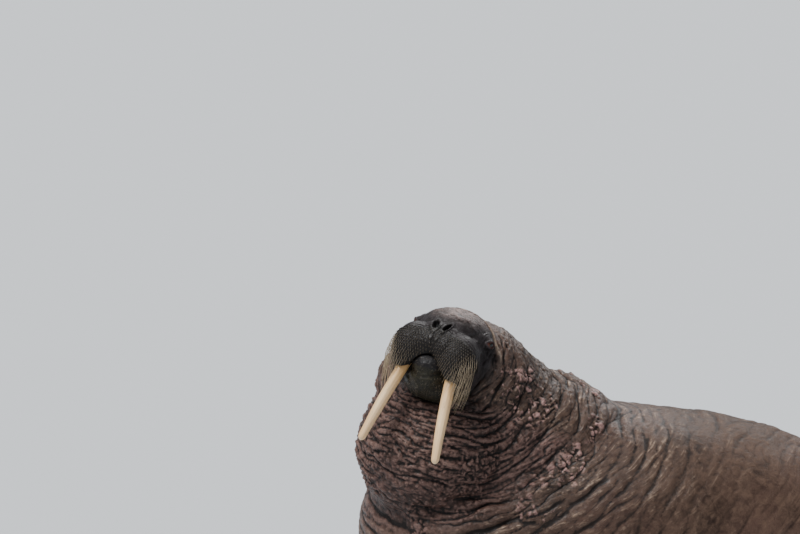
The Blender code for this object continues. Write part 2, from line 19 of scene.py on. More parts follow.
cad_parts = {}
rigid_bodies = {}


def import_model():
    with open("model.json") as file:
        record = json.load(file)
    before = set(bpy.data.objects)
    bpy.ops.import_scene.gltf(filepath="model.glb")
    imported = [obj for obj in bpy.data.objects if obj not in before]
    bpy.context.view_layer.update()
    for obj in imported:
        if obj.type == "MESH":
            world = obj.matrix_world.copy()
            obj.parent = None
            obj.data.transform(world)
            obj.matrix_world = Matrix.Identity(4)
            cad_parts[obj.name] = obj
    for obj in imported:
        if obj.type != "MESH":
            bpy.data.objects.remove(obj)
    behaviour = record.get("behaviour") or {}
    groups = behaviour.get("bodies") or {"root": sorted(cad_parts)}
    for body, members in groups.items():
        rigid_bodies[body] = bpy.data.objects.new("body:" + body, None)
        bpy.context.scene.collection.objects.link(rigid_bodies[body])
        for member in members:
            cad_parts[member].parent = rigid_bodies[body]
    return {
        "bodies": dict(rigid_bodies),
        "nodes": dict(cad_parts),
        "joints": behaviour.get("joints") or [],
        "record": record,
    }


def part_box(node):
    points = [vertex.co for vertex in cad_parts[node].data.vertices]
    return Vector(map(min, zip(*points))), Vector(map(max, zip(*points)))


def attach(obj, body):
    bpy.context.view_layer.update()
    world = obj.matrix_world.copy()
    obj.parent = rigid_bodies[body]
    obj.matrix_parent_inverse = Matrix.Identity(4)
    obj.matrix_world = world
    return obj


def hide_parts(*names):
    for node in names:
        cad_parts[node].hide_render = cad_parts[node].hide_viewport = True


for leftover in list(bpy.data.objects):
    bpy.data.objects.remove(leftover)
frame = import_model()

# Sizes and places that the solids were made from.
EYE_SPACING = 0.300
EYE_RADIUS = 0.021
LID_THICKNESS = 0.0045
PAD_WIDTH = 0.170
BACK_HEIGHT = 0.86
BODY_WIDTH = 1.00
TRUNK_LENGTH = 1.92
TUSK_LENGTH = 0.305
TUSK_RADIUS = 0.0222
FOREFLIPPER_LENGTH = 0.40
HIND_FLIPPER_LENGTH = 0.40
BELLY_SINK = 0.055
HEAD_TURN = math.radians(66.3)
HEAD_PITCH = math.radians(17.8)
HEAD_ROLL = math.radians(14.4)
NOSTRIL = Vector((0.155, 0.024, -0.009))
EYE = Vector((-0.002, EYE_SPACING / 2 - 0.005, -0.009))
GAZE = Vector((0.50, 0.86, 0.03)).normalized()
PAD_HEART = Vector((0.085, PAD_WIDTH / 2, -0.115))
PAD_LEVEL = -0.217
ARCH_HEIGHT = 0.095
ARCH_WIDTH = 0.076
ARCH_ROUNDING = 0.004
ARCH_REAR = 0.030
ARCH_FRONT = 0.090
COLLAR_HEART = Vector((-0.05, 0, -0.12))
COLLAR_REACH = 0.98
EAR = Vector((-0.110, 0.180, 0.010))
SCARS = Vector((-0.140, 0.260, -0.130))
NECK_STATIONS = [
    (0.300, 0.360, -0.760, 0.440, 0.400),
    (0.210, 0.320, -0.580, 0.410, 0.400),
    (0.134, 0.270, -0.412, 0.370, 0.355),
    (0.077, 0.200, -0.258, 0.314, 0.286),
    (0.051, 0.120, -0.148, 0.246, 0.215),
    (0.018, 0.045, -0.082, 0.176, 0.138),
    (0.002, 0.006, -0.060, 0.150, 0.105),
]

# Each nostril's half width and half length, and the lean of its upper end outward, by the side it is on.
NOSTRIL_SHAPES = {1: (0.0068, 0.0142, math.radians(14)), -1: (0.0108, 0.0165, math.radians(38))}

# How far down a digit its claw sits.
CLAW_SHARE = 0.84

# How fine the skin is.
BODY_VOXEL = 0.008
HEAD_VOXEL = 0.0025

# The photograph: its size, the place of the eyes in it and how much of the animal a pixel holds.
PHOTO_WIDTH, PHOTO_HEIGHT = 800, 534
EYES_IN_PHOTO = (454.0, 331.2)
PIXELS_PER_METRE = 265
VIEW_AZIMUTH = math.radians(-5)
VIEW_ELEVATION = math.radians(7)
LENS = 300
SENSOR = 36


def head_axes():
    """Forward, left and up of the head, as unit vectors."""
    forward = Vector((
        -math.cos(HEAD_TURN) * math.cos(HEAD_PITCH),
        -math.sin(HEAD_TURN) * math.cos(HEAD_PITCH),
        math.sin(HEAD_PITCH),
    ))
    level = Vector((0, 0, 1)).cross(forward).normalized()
    upright = forward.cross(level)
    left = level * math.cos(HEAD_ROLL) - upright * math.sin(HEAD_ROLL)
    return forward, left, forward.cross(left)


FORWARD, LEFT, UP = head_axes()
AXES = Matrix((FORWARD, LEFT, UP)).transposed()


def place_between_eyes():
    """The head's own origin, found from the two eyeballs of the solids."""
    corners = [corner for name in ("eye_left", "eye_right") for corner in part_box(name)]
    middle = sum((Vector(corner) for corner in corners), Vector()) / len(corners)
    return middle - AXES @ Vector((EYE.x, 0, EYE.z))


EYES = place_between_eyes()
HEAD = Matrix.Translation(EYES) @ AXES.to_4x4()
SHOULDER = EYES + Vector((0.23, 0.36, 0.43 - 1.165))


# Meshes.
def object_of(name, mesh):
    thing = bpy.data.objects.new(name, mesh)
    bpy.context.scene.collection.objects.link(thing)
    return thing


def mesh_object(name, points, faces):
    mesh = bpy.data.meshes.new(name)
    mesh.from_pydata([tuple(p) for p in points], [], faces)
    bm = bmesh.new()
    bm.from_mesh(mesh)
    bmesh.ops.recalc_face_normals(bm, faces=bm.faces)
    bm.to_mesh(mesh)
    bm.free()
    return object_of(name, mesh)


def apply_modifiers(thing):
    """Replaces the object's mesh by what its modifiers make of it."""
    graph = bpy.context.evaluated_depsgraph_get()
    made = bpy.data.meshes.new_from_object(thing.evaluated_get(graph))
    thing.modifiers.clear()
    thing.data = made
    return thing


def ball(centre, radii, frame=Matrix.Identity(4), spin=0, segments=80):
    """An ellipsoid with its centre and radii along the frame's own axes."""
    bm = bmesh.new()
    bmesh.ops.create_uvsphere(bm, u_segments=segments, v_segments=segments // 2, radius=1)
    turn = Matrix.Rotation(spin, 4, "Z")
    bm.transform(frame @ Matrix.Translation(centre) @ turn @ Matrix.Diagonal((*radii, 1)))
    mesh = bpy.data.meshes.new("ball")
    bm.to_mesh(mesh)
    bm.free()
    return object_of("ball", mesh)


def spread(values, places):
    """A Catmull-Rom curve through rows of values, read at places from 0 to the last row."""
    rows = np.array([values[0], *values, values[-1]], float)
    k = np.minimum(np.asarray(places).astype(int), len(values) - 2)
    t = (np.asarray(places) - k)[:, None]
    a, b, c, d = rows[k], rows[k + 1], rows[k + 2], rows[k + 3]
    return b + 0.5 * t * (c - a + t * (2 * a - 5 * b + 4 * c - d + t * (3 * (b - c) + d - a)))


def evenly(values, count):
    return spread(values, np.linspace(0, len(values) - 1, count))


def loft(name, rows, side, segments=96):
    """A closed body through rows of (x, y, z, half width, half height). Width runs along side."""
    ahead = np.gradient(rows[:, :3], axis=0)
    points = []
    for row, way in zip(rows, ahead):
        way = Vector(way).normalized()
        across = (Vector(side) - way * Vector(side).dot(way)).normalized()
        height = way.cross(across)
        for k in range(segments):
            turn = 2 * math.pi * k / segments
            out = across * (row[3] * math.cos(turn)) + height * (row[4] * math.sin(turn))
            points.append(Vector(row[:3]) + out)
    faces = []
    for ring in range(len(rows) - 1):
        for k in range(segments):
            a, b = ring * segments + k, ring * segments + (k + 1) % segments
            faces.append((a, b, b + segments, a + segments))
    faces.append(tuple(reversed(range(segments))))
    faces.append(tuple(range((len(rows) - 1) * segments, len(rows) * segments)))
    return mesh_object(name, points, faces)


def join(name, things):
    """One object from several, still as separate shells."""
    bm = bmesh.new()
    for thing in things:
        bm.from_mesh(thing.data)
        bpy.data.objects.remove(thing)
    mesh = bpy.data.meshes.new(name)
    bm.to_mesh(mesh)
    bm.free()
    return object_of(name, mesh)


def fuse(name, things, voxel, smoothing):
    """Overlapping shells made into one soft-cornered skin."""
    whole = join(name, things)
    remesh = whole.modifiers.new("Remesh", "REMESH")
    remesh.mode = "VOXEL"
    remesh.voxel_size = voxel
    smooth = whole.modifiers.new("Smooth", "SMOOTH")
    smooth.factor = 0.5
    smooth.iterations = smoothing
    return apply_modifiers(whole)


def unite(body, others):
    """Joins closed bodies to a body, as one closed surface."""
    group = bpy.data.collections.new("operands")
    bpy.context.scene.collection.children.link(group)
    for other in others:
        group.objects.link(other)
        bpy.context.scene.collection.objects.unlink(other)
    change = body.modifiers.new("Unite", "BOOLEAN")
    change.operation = "UNION"
    change.operand_type = "COLLECTION"
    change.collection = group
    change.solver = "MANIFOLD"
    apply_modifiers(body)
    for other in others:
        bpy.data.objects.remove(other)
    bpy.data.collections.remove(group)
    return body


def points_of(thing):
    points = np.empty(len(thing.data.vertices) * 3)
    thing.data.vertices.foreach_get("co", points)
    return points.reshape(-1, 3)


def normals_of(thing):
    normals = np.empty(len(thing.data.vertices) * 3, np.float32)
    thing.data.vertex_normals.foreach_get("vector", normals)
    return normals.reshape(-1, 3).astype(float)


def place_points(thing, points):
    thing.data.vertices.foreach_set("co", points.ravel())
    thing.data.update()


def push(thing, heights):
    """Moves each point of the surface outward by its height."""
    place_points(thing, points_of(thing) + normals_of(thing) * heights[:, None])


def edges_of(thing):
    ends = np.empty(len(thing.data.edges) * 2, np.int32)
    thing.data.edges.foreach_get("vertices", ends)
    return ends.reshape(-1, 2)


def blurred(values, ends, times, share=0.5):
    """Values at the corners of a mesh, each drawn towards the mean of its neighbours."""
    values = np.array(values, float)
    flat = values.reshape(len(values), -1)
    both = np.concatenate((ends[:, 0], ends[:, 1]))
    other = np.concatenate((ends[:, 1], ends[:, 0]))
    count = np.maximum(np.bincount(both, minlength=len(flat)), 1)[:, None]
    for _ in range(times):
        total = [np.bincount(both, flat[other, k], minlength=len(flat)) for k in range(flat.shape[1])]
        flat = flat + (np.column_stack(total) / count - flat) * share
    return flat.reshape(values.shape)


def soften(thing, weights, times):
    """Smooths the surface where the weights, from 0 to 1, are high."""
    points = points_of(thing)
    place_points(thing, blurred(points, edges_of(thing), times, 0.5 * weights[:, None]))


def refine(thing, wanted):
    """Splits each edge whose two ends are wanted."""
    bm = bmesh.new()
    bm.from_mesh(thing.data)
    edges = [edge for edge in bm.edges if wanted[edge.verts[0].index] and wanted[edge.verts[1].index]]
    bmesh.ops.subdivide_edges(bm, edges=edges, cuts=1, use_grid_fill=True)
    bmesh.ops.triangulate(bm, faces=[face for face in bm.faces if len(face.verts) > 4])
    bm.to_mesh(thing.data)
    bm.free()


# Fields over the surface.
def bell(distance, width):
    return np.exp(-(distance / width) ** 2)


def rise(value, low, high):
    """From 0 at low to 1 at high, with soft ends."""
    share = np.clip((value - low) / (high - low), 0, 1)
    return share * share * (3 - 2 * share)


def chance(cells, seed):
    """One repeatable random number from -1 to 1 for each whole-numbered cell."""
    mixed = cells @ np.array((73856093, 19349663, 83492791), np.int64) + seed * 1013904223
    mixed = (mixed ^ (mixed >> 15)) * 2246822519 & 0xFFFFFFFF
    mixed = (mixed ^ (mixed >> 13)) * 3266489917 & 0xFFFFFFFF
    return ((mixed ^ (mixed >> 16)) & 0xFFFF) / 32767.5 - 1


def noise(points, size, seed):
    """Smooth random values, from -1 to 1, that change over about size metres."""
    at = points / size + 0.37 * seed
    cells = np.floor(at).astype(np.int64)
    part = at - cells
    part = part * part * (3 - 2 * part)
    total = np.zeros(len(points))
    for corner in itertools.product((0, 1), repeat=3):
        share = np.prod(np.where(corner, part, 1 - part), axis=1)
        total += share * chance(cells + np.array(corner), seed)
    return total


def domes(points, size, seed):
    """Scattered round bumps, about one to a cell: their height from 0 to 1, and a random number for each."""
    cells = np.floor(points / size).astype(np.int64)
    best = np.full(len(points), np.inf)
    number = np.zeros(len(points))
    for step in itertools.product((-1, 0, 1), repeat=3):
        near = cells + np.array(step)
        jitter = np.column_stack([chance(near, seed + k) for k in range(3)])
        middle = (near + 0.5 + 0.4 * jitter) * size
        own = chance(near, seed + 3)
        radius = size * (0.42 + 0.16 * own)
        away = np.linalg.norm(points - middle, axis=1) / radius
        closer = away < best
        best = np.where(closer, away, best)
        number = np.where(closer, own, number)
    return np.clip(1 - best ** 2, 0, 1) ** 1.2, number


def in_head_frame(points):
    """Forward, left and up of each point, from the point midway between the eyes."""
    return (points - np.array(EYES)) @ np.array((FORWARD, LEFT, UP)).T


def ball_distance(places, centre, radii):
    """About how far each place is outside an ellipsoid, in the same frame."""
    offset = (places - np.array(centre)) / np.array(radii)
    near = np.linalg.norm(offset, axis=1)
    steep = np.maximum(np.linalg.norm(offset / np.array(radii), axis=1), 1e-9)
    return near * (near - 1) / steep


def spine():
    """The body's axis from behind the rump, through the shoulders and up the neck, to before the snout."""
    x0 = SHOULDER.x
    trunk = [(x0 + 2.5, 0, 0.02), (x0 + 1.9, 0, 0.12), (x0 + 1.3, 0, 0.28), (x0 + 0.8, 0, 0.38), (x0 + 0.35, 0, 0.42)]
    neck = [tuple(EYES + Vector(station[:3])) for station in NECK_STATIONS]
    return trunk + neck + [tuple(EYES + FORWARD * 0.30)]


def spine_place(points):
    """How far along the spine each point is. Its reach makes the folds fan out round the bends."""
    reach = 0.16
    curve = evenly(spine(), 90)
    steps = np.linalg.norm(np.diff(curve, axis=0), axis=1)
    lengths = np.concatenate(([0], np.cumsum(steps)))
    start = lengths[np.argmin(np.linalg.norm(curve - np.array(EYES + Vector(NECK_STATIONS[0][:3])), axis=1))]
    total = np.zeros(len(points))
    weights = np.full(len(points), 1e-12)
    for place, length, step in zip(curve, lengths, np.concatenate((steps[:1], steps))):
        weight = step * np.exp(-((points - place) ** 2).sum(axis=1) / (2 * reach ** 2))
        total += weight * (length - start)
        weights += weight
    return total / weights


def collar(points):
    """A measure from the jaw back over the body, so that folds ring the face and cross the trunk."""
    return COLLAR_REACH - np.linalg.norm(points - np.array(HEAD @ COLLAR_HEART), axis=1)


def neck_share(points, along):
    """1 on the neck's loose folded skin, fading to 0 over the shoulders."""
    away = np.linalg.norm(points - np.array(EYES), axis=1)
    return np.maximum(rise(along, -0.30, 0.16), 1 - rise(away, 0.68, 1.25))


def hood_line(places):
    """How far each place is in front of the hood's edge, where the neck's loose skin meets the face."""
    ahead, left, up = places.T
    return ahead + 0.062 - 0.033 * bell(left, 0.05) * rise(up, 0.03, 0.07)


def hood_heights(places):
    """A narrow raised fold along the hood's edge, with a crease in front of it."""
    past = hood_line(places) + 0.004 * np.sin(60 * places[:, 2])
    ridge = 0.0040 * bell(past, 0.0065) - 0.0035 * bell(past - 0.011, 0.005)
    return (ridge + 0.0030 * rise(-past, 0.0, 0.012) * rise(past, -0.07, -0.02)) * rise(places[:, 2], -0.20, -0.10)


def folds(along, spacing, sharpness=0.55):
    """Round ridges parted by narrow creases: from about -0.75 in a crease to 0.25 on a ridge."""
    return np.abs(np.sin(math.pi * along / spacing)) ** sharpness - 0.75


def round_body(points, around):
    """The points squeezed along the folds, so that noise read there makes long marks round the body."""
    return 0.34 * points + 0.56 * around[:, None]


def creases(points, around, size, seed, sharpness=0.6):
    """Broken, branching wrinkles round the body: 0 in a crease and up to 1 between creases."""
    return np.minimum(1, 2.4 * np.abs(noise(round_body(points, around), size, seed))) ** sharpness


def nodules(points, along):
    """Scarred lumps low on the neck and on the chest: their height, from 0 to 1."""
    total = np.zeros(len(points))
    shaken = points + 0.010 * np.column_stack([noise(points, 0.022, seed) for seed in (41, 42, 43)])
    for size, seed, part in ((0.040, 40, 0.0), (0.024, 50, -0.1), (0.014, 54, 0.2)):
        lumps, number = domes(shaken, size, seed)
        total = np.maximum(total, lumps * (number > part) * min(1, size / 0.024))
    place = rise(along, -0.12, 0.12) * (1 - rise(along, 0.60, 0.72)) * rise(EYES.z - points[:, 2], 0.06, 0.20)
    patches = 0.9 * place * rise(noise(points, 0.10, 14), 0.0, 0.5)
    places = in_head_frame(points)
    for side in (1, -1):
        away = np.linalg.norm(places - (SCARS.x, side * SCARS.y, SCARS.z), axis=1)
        patches = np.maximum(patches, rise(bell(away, 0.13) + 0.35 * noise(points, 0.05, 44), 0.25, 0.75))
    return total * patches


# The body.
def trunk_pieces():
    """The trunk from the chest to the rump."""
    x0, half = SHOULDER.x, BODY_WIDTH / 2
    profile = [
        (-0.42, 0.50, 0.15, 0.20),
        (-0.37, 0.62, 0.08, 0.42),
        (-0.20, BACK_HEIGHT - 0.04, -0.02, half * 0.90),
        (0.10, BACK_HEIGHT, -BELLY_SINK, half),
        (0.50, BACK_HEIGHT - 0.03, -BELLY_SINK, half),
        (0.90, BACK_HEIGHT - 0.11, -BELLY_SINK, half * 0.93),
        (1.25, 0.585, -BELLY_SINK, half * 0.77),
        (1.55, 0.425, -0.035, half * 0.57),
        (TRUNK_LENGTH - 0.16, 0.285, -0.015, half * 0.37),
        (TRUNK_LENGTH - 0.02, 0.170, 0.015, half * 0.20),
    ]
    stations = [
        (x0 + along, 0, (top + bottom) / 2, wide, (top - bottom) / 2)
        for along, top, bottom, wide in profile
    ]
    trunk = loft("trunk", evenly(stations, 120), (0, 1, 0))
    pieces = [trunk, ball((x0 - 0.10, -0.04, 0.36), (0.47, 0.46, 0.42))]
    for side in (1, -1):
        pieces.append(ball((x0 + 0.02, side * 0.30, 0.28), (0.34, 0.22, 0.30)))
    return pieces


def neck_pieces():
    """The thick neck, from inside the chest up to the back of the head, and the high nape."""
    x, y, z = EYES
    stations = [(x + a, y + b, z + c, wide, high) for a, b, c, wide, high in NECK_STATIONS]
    neck = loft("neck", evenly(stations, 60), LEFT)
    nape = ball((x + 0.33, y + 0.31, z - 0.535), (0.40, 0.36, 0.345))
    throat = ball((x - 0.06, y + 0.12, z - 0.46), (0.30, 0.28, 0.30))
    outer_cheek = ball((x - 0.04, y + 0.20, z - 0.24), (0.24, 0.22, 0.20))
    return [neck, nape, throat, outer_cheek]


def shape_body(body):
    """Rings of loose folded skin round the neck, shallower wrinkles on the trunk, lumps and the ear openings."""
    points = points_of(body)
    along = spine_place(points)
    places = in_head_frame(points)
    neck = neck_share(points, along)
    wander = 0.024 * noise(points, 0.17, 1) + 0.011 * noise(points, 0.07, 2)
    bent = collar(points) + wander
    depth = np.clip(0.75 + 0.85 * noise(points, 0.15, 3), 0, 1.4)
    heights = 0.009 * neck * depth * folds(bent, 0.085)
    depth = np.clip(0.70 + 0.80 * noise(points, 0.10, 4), 0, 1.4)
    heights += 0.0070 * neck * depth * folds(bent + 0.004 * noise(points, 0.04, 21), 0.0425, 0.35)
    heights += 0.0085 * neck * depth * (creases(points, bent, 0.045, 5) - 0.7)
    close = 1 - rise(np.linalg.norm(points - np.array(EYES), axis=1), 0.50, 0.78)
    heights += 0.0055 * neck * (0.4 + 0.6 * close) * (creases(points, bent, 0.024, 6) - 0.7)
    heights += 0.0022 * neck * close * (creases(points, bent, 0.012, 7) - 0.7)
    gnarled = 0.25 + 0.75 * close
    for size, height, seed in ((0.034, 0.0030, 60), (0.018, 0.0022, 64)):
        gnarls, number = domes(points, size, seed)
        heights += height * gnarled * gnarls * (number > -0.4)
    trunk = 1 - neck
    heights += 0.010 * trunk * noise(points, 0.30, 8) + 0.004 * trunk * noise(points, 0.12, 9)
    broad = along + 0.07 * noise(points, 0.30, 10) + 0.03 * noise(points, 0.12, 11)
    patchy = rise(noise(points, 0.35, 19), -0.35, 0.45)
    heights += 0.0055 * trunk * patchy * rise(noise(points, 0.22, 12), -0.5, 0.5) * folds(broad, 0.115)
    heights += 0.0050 * trunk * (0.4 + 0.6 * patchy) * (creases(points, broad, 0.075, 15, 1.0) - 0.5)
    heights += 0.0034 * trunk * (0.5 + 0.5 * patchy) * (creases(points, broad, 0.036, 16, 0.8) - 0.6)
    heights += 0.0018 * trunk * (creases(points, broad, 0.018, 20, 0.8) - 0.6)
    heights += 0.0085 * nodules(points, along)
    small, number = domes(points, 0.015, 54)
    throat = rise(along, 0.25, 0.40) * rise(-places[:, 2], 0.20, 0.27) * rise(places[:, 0], -0.20, -0.08)
    heights += 0.0030 * small * (number > -0.5) * np.maximum(throat, 0.4 * neck)
    heights += 0.0030 * (throat + 0.3 * neck) * noise(points, 0.020, 17)
    heights += 0.0080 * throat * (creases(points, bent + 0.5 * wander, 0.034, 18) - 0.7)
    heights += hood_heights(places) - 0.002 * gnarled - 0.006 * neck * (1 - close)
    for side in (1, -1):
        away = ear_distance(places, side)
        heights += 0.003 * bell(away - 2.2, 0.9) - 0.014 * bell(away, 1.0)
    push(body, heights)


def ear_distance(places, side):
    """How far each place is from the ear's short upright slit, as a share of its half width."""
    offset = places - np.array((EAR.x, EAR.y * side, EAR.z))
    return np.linalg.norm(offset / (0.0045, 0.006, 0.010), axis=1)


# The head.
def pad_balls(side):
    """The two rounded masses of one whisker pad: centre, radii and turn about the head's up axis."""
    return [
        ((0.102, side * (PAD_WIDTH - 0.082), -0.115), (0.098, 0.084, 0.106), side * 0.12),
        ((0.020, side * 0.080, -0.130), (0.120, 0.080, 0.098), 0),
    ]


JAW_BALLS = [
    ((0.056, 0, -0.198), (0.114, 0.084, 0.082)),
    ((0.136, -0.005, -0.165), (0.046, 0.063, 0.044)),
    ((0.045, 0, -0.222), (0.095, 0.106, 0.062)),
    ((-0.030, 0, -0.180), (0.100, 0.085, 0.075)),
]


def head_pieces():
    """The skull, snout, upper lips and whisker pads, without the lower jaw."""
    pieces = [
        ball((-0.055, 0, -0.012), (0.185, 0.148, 0.104), HEAD),
        ball((0.000, 0, -0.085), (0.150, 0.142, 0.140), HEAD),
        ball((0.070, 0, -0.050), (0.105, 0.112, 0.068), HEAD),
        ball((0.108, 0, -0.075), (0.090, 0.085, 0.070), HEAD),
    ]
    for side in (1, -1):
        pieces += [ball(centre, radii, HEAD, spin) for centre, radii, spin in pad_balls(side)]
        pieces += [
            ball((0.010, side * 0.088, -0.062), (0.095, 0.062, 0.078), HEAD),
            ball((0.108, side * 0.042, -0.088), (0.090, 0.062, 0.072), HEAD),
            ball((-0.014, side * 0.112, 0.003), (0.052, 0.042, 0.034), HEAD),
            ball((EYE.x, side * EYE.y, EYE.z), (EYE_RADIUS + LID_THICKNESS,) * 3, HEAD),
        ]
    return pieces


def pad_edge(left):
    """The level of the pads' lower edge, at a distance to the left of the middle."""
    return PAD_LEVEL + ARCH_HEIGHT * bell(left, ARCH_WIDTH)


def open_mouth(head):
    """Lifts all of the muzzle that is below the pads' edge, so an arch is left for the chin."""
    points = points_of(head)
    ahead, left, up = in_head_frame(points).T
    front = np.clip((ahead - ARCH_REAR) / (ARCH_FRONT - ARCH_REAR), 0, 1)
    lift = front * ARCH_ROUNDING * np.logaddexp(0, (pad_edge(left) - up) / ARCH_ROUNDING)
    place_points(head, points + lift[:, None] * np.array(UP))
    return head


def from_pad_edge(places, side):
    """How far each place is past the edge of a whisker pad, towards the eye. Below 0 it is on the pad."""
    offset = places - np.array((PAD_HEART.x, side * PAD_HEART.y, PAD_HEART.z))
    return offset @ np.array((-0.52, side * 0.27, 0.81)) - 0.029


def from_jaw(places):
    return np.min([ball_distance(places, centre, radii) for centre, radii in JAW_BALLS], axis=0)


def tusk_axis(side):
    """Middle points of one tusk in the head frame, from inside the jaw to the tip."""
    hidden, ahead, out, down, curl = 0.05, 0.22, 0.17, 0.96, 0.045
    share = np.linspace(0, 1, 9)
    along = (TUSK_LENGTH + hidden) * share
    return np.column_stack((
        0.118 + along * ahead - curl * share * share,
        side * (0.092 + along * out),
        -0.150 - along * down,
    ))


def from_tusks(places):
    """How far each place is from the nearer tusk's surface, near its root."""
    away = np.full(len(places), np.inf)
    for side in (1, -1):
        for middle in evenly(tusk_axis(side), 60)[:30]:
            away = np.minimum(away, np.linalg.norm(places - middle, axis=1) - TUSK_RADIUS)
    return away


def eye_axes(side):
    """The way an eye looks, and the long and the upright axis of its opening, in the head frame."""
    gaze = Vector((GAZE.x, side * GAZE.y, GAZE.z))
    upright = Vector((-0.10, -side * 0.12, 1))
    across = upright.cross(gaze).normalized()
    return np.array(gaze), np.array(across), np.array(gaze.cross(across))


def eye_opening(places, side):
    """Distance out from the lids' edge over the eyeball, below 0 in the opening, and a mask of the eye's front."""
    gaze, across, upright = eye_axes(side)
    offset = places - np.array((EYE.x, side * EYE.y, EYE.z))
    a = offset @ across / EYE_RADIUS
    b = offset @ upright / EYE_RADIUS
    half_length, half_height = 0.80, 0.46
    inside = half_height * (1 - (a / half_length) ** 2) - np.abs(b)
    slope = np.sqrt(1 + (2 * half_height * a / half_length ** 2) ** 2)
    return -inside / slope * EYE_RADIUS, rise(offset @ gaze, 0.0, 0.008)


def shape_nostrils(places):
    """Two deep slanting nostrils with raised rims, parted by a thin ridge, one of them flared."""
    ahead, left, up = places.T
    front = rise(ahead, 0.09, 0.12)
    heights = front * 0.0030 * bell(left, 0.004) * bell(up - NOSTRIL.z, 0.022)
    for side, (half_width, half_length, lean) in NOSTRIL_SHAPES.items():
        out, high = left * side - NOSTRIL.y, up - NOSTRIL.z
        across = out * math.cos(lean) - high * math.sin(lean)
        along = high * math.cos(lean) + out * math.sin(lean)
        reach = np.sqrt((across / half_width) ** 2 + (along / half_length) ** 2)
        heights += front * 0.0040 * bell(reach - 1.6, 0.40)
        heights -= front * 0.030 * np.clip(1.25 - reach, 0, 1) ** 0.6
    return heights


def shape_head(head):
    """Pads with their edge, lips, nostrils, lids and wrinkles."""
    points = points_of(head)
    places = in_head_frame(points)
    ahead, left, up = places.T
    side = np.where(left > 0, 1, -1)
    heights = shape_nostrils(places)
    heights -= 0.005 * rise(ahead, 0.09, 0.12) * bell(left, 0.007) * bell(up + 0.080, 0.045)
    past = np.where(side > 0, from_pad_edge(places, 1), from_pad_edge(places, -1))
    pad = rise(ahead, 0.02, 0.07)
    middle = rise(np.abs(left), 0.020, 0.045)
    heights += pad * middle * (0.0030 * bell(past + 0.010, 0.007) - 0.0035 * bell(past - 0.001, 0.0035))
    heights -= pad * middle * 0.0016 * bell(past - 0.013, 0.003)
    mouth = from_jaw(places)
    heights += rise(ahead, 0.03, 0.06) * (0.0030 * bell(mouth - 0.009, 0.005) - 0.008 * bell(mouth, 0.004))
    root = from_tusks(places)
    heights += 0.003 * bell(root - 0.012, 0.006) - 0.012 * bell(root - 0.001, 0.004)
    face = rise(past, 0.004, 0.02)
    for one in (1, -1):
        away = np.linalg.norm(places - (EYE.x, one * EYE.y, EYE.z), axis=1) + 0.002 * noise(points, 0.02, 20)
        rings = rise(away, 0.026, 0.032) * (1 - rise(away, 0.045, 0.085))
        heights += face * rings * 0.0016 * folds(away, 0.0075, 0.8)
        under = np.linalg.norm((places - (0.012, one * 0.150, -0.045)) * (1, 1, 0.7), axis=1)
        heights -= 0.005 * bell(under, 0.020)
    top = rise(up, 0.02, 0.07) * rise(-ahead, -0.10, 0.0)
    heights += 0.0016 * top * folds(ahead + 0.006 * noise(points, 0.04, 21), 0.014, 0.8)
    heights += face * (0.0014 * noise(points, 0.020, 22) + 0.0009 * noise(points, 0.009, 23))
    heights += hood_heights(places)
    push(head, heights)
    part_lids(head)


def bead_pads(head):
    """A small round mound at the root of each bristle of the pads."""
    surface = BVHTree.FromObject(head, bpy.context.evaluated_depsgraph_get())
    roots = [tuple(found[0]) for side in (1, -1) for found in pad_bristles(surface, side)]
    tree = KDTree(len(roots))
    for k, root in enumerate(roots):
        tree.insert(root, k)
    tree.balance()
    points = points_of(head)
    heights = np.zeros(len(points))
    for k in np.flatnonzero(near_openings(head)):
        heights[k] = 0.0022 * math.exp(-(tree.find(points[k])[2] / 0.0034) ** 2)
    push(head, heights)


def part_lids(head):
    """Lids of even thickness over each eyeball, parted in an almond, with a fold above and below."""
    places = in_head_frame(points_of(head))
    touched = np.zeros(len(places))
    for side in (1, -1):
        edge, front = eye_opening(places, side)
        offset = places - np.array((EYE.x, side * EYE.y, EYE.z))
        reach = np.linalg.norm(offset, axis=1)
        lid = EYE_RADIUS + LID_THICKNESS + 0.0012 * bell(edge - 0.004, 0.002) - 0.0016 * bell(edge - 0.0085, 0.0016)
        wanted = np.where(edge < 0, EYE_RADIUS - 0.004, np.maximum(reach, lid))
        near = front * (reach < EYE_RADIUS + 0.022)
        moved = reach + (wanted - reach) * near * (1 - rise(edge, 0.010, 0.016) * (edge > 0))
        places = places + offset * ((moved / reach) - 1)[:, None]
        touched = np.maximum(touched, near * bell(edge, 0.003))
    place_points(head, places @ np.array((FORWARD, LEFT, UP)) + np.array(EYES))
    soften(head, touched, 2)


def shape_jaw(jaw):
    """The chin's blunt lower lip, set off by a crease, and small lumps."""
    points = points_of(jaw)
    ahead, left, up = in_head_frame(points).T
    lip = np.linalg.norm(np.column_stack((ahead - 0.150, left + 0.006, up + 0.158)), axis=1)
    heights = -0.0035 * bell(lip - 0.060, 0.006) * rise(-up, 0.15, 0.18)
    heights += 0.0016 * noise(points, 0.018, 30) + 0.0008 * noise(points, 0.008, 31)
    push(jaw, heights)


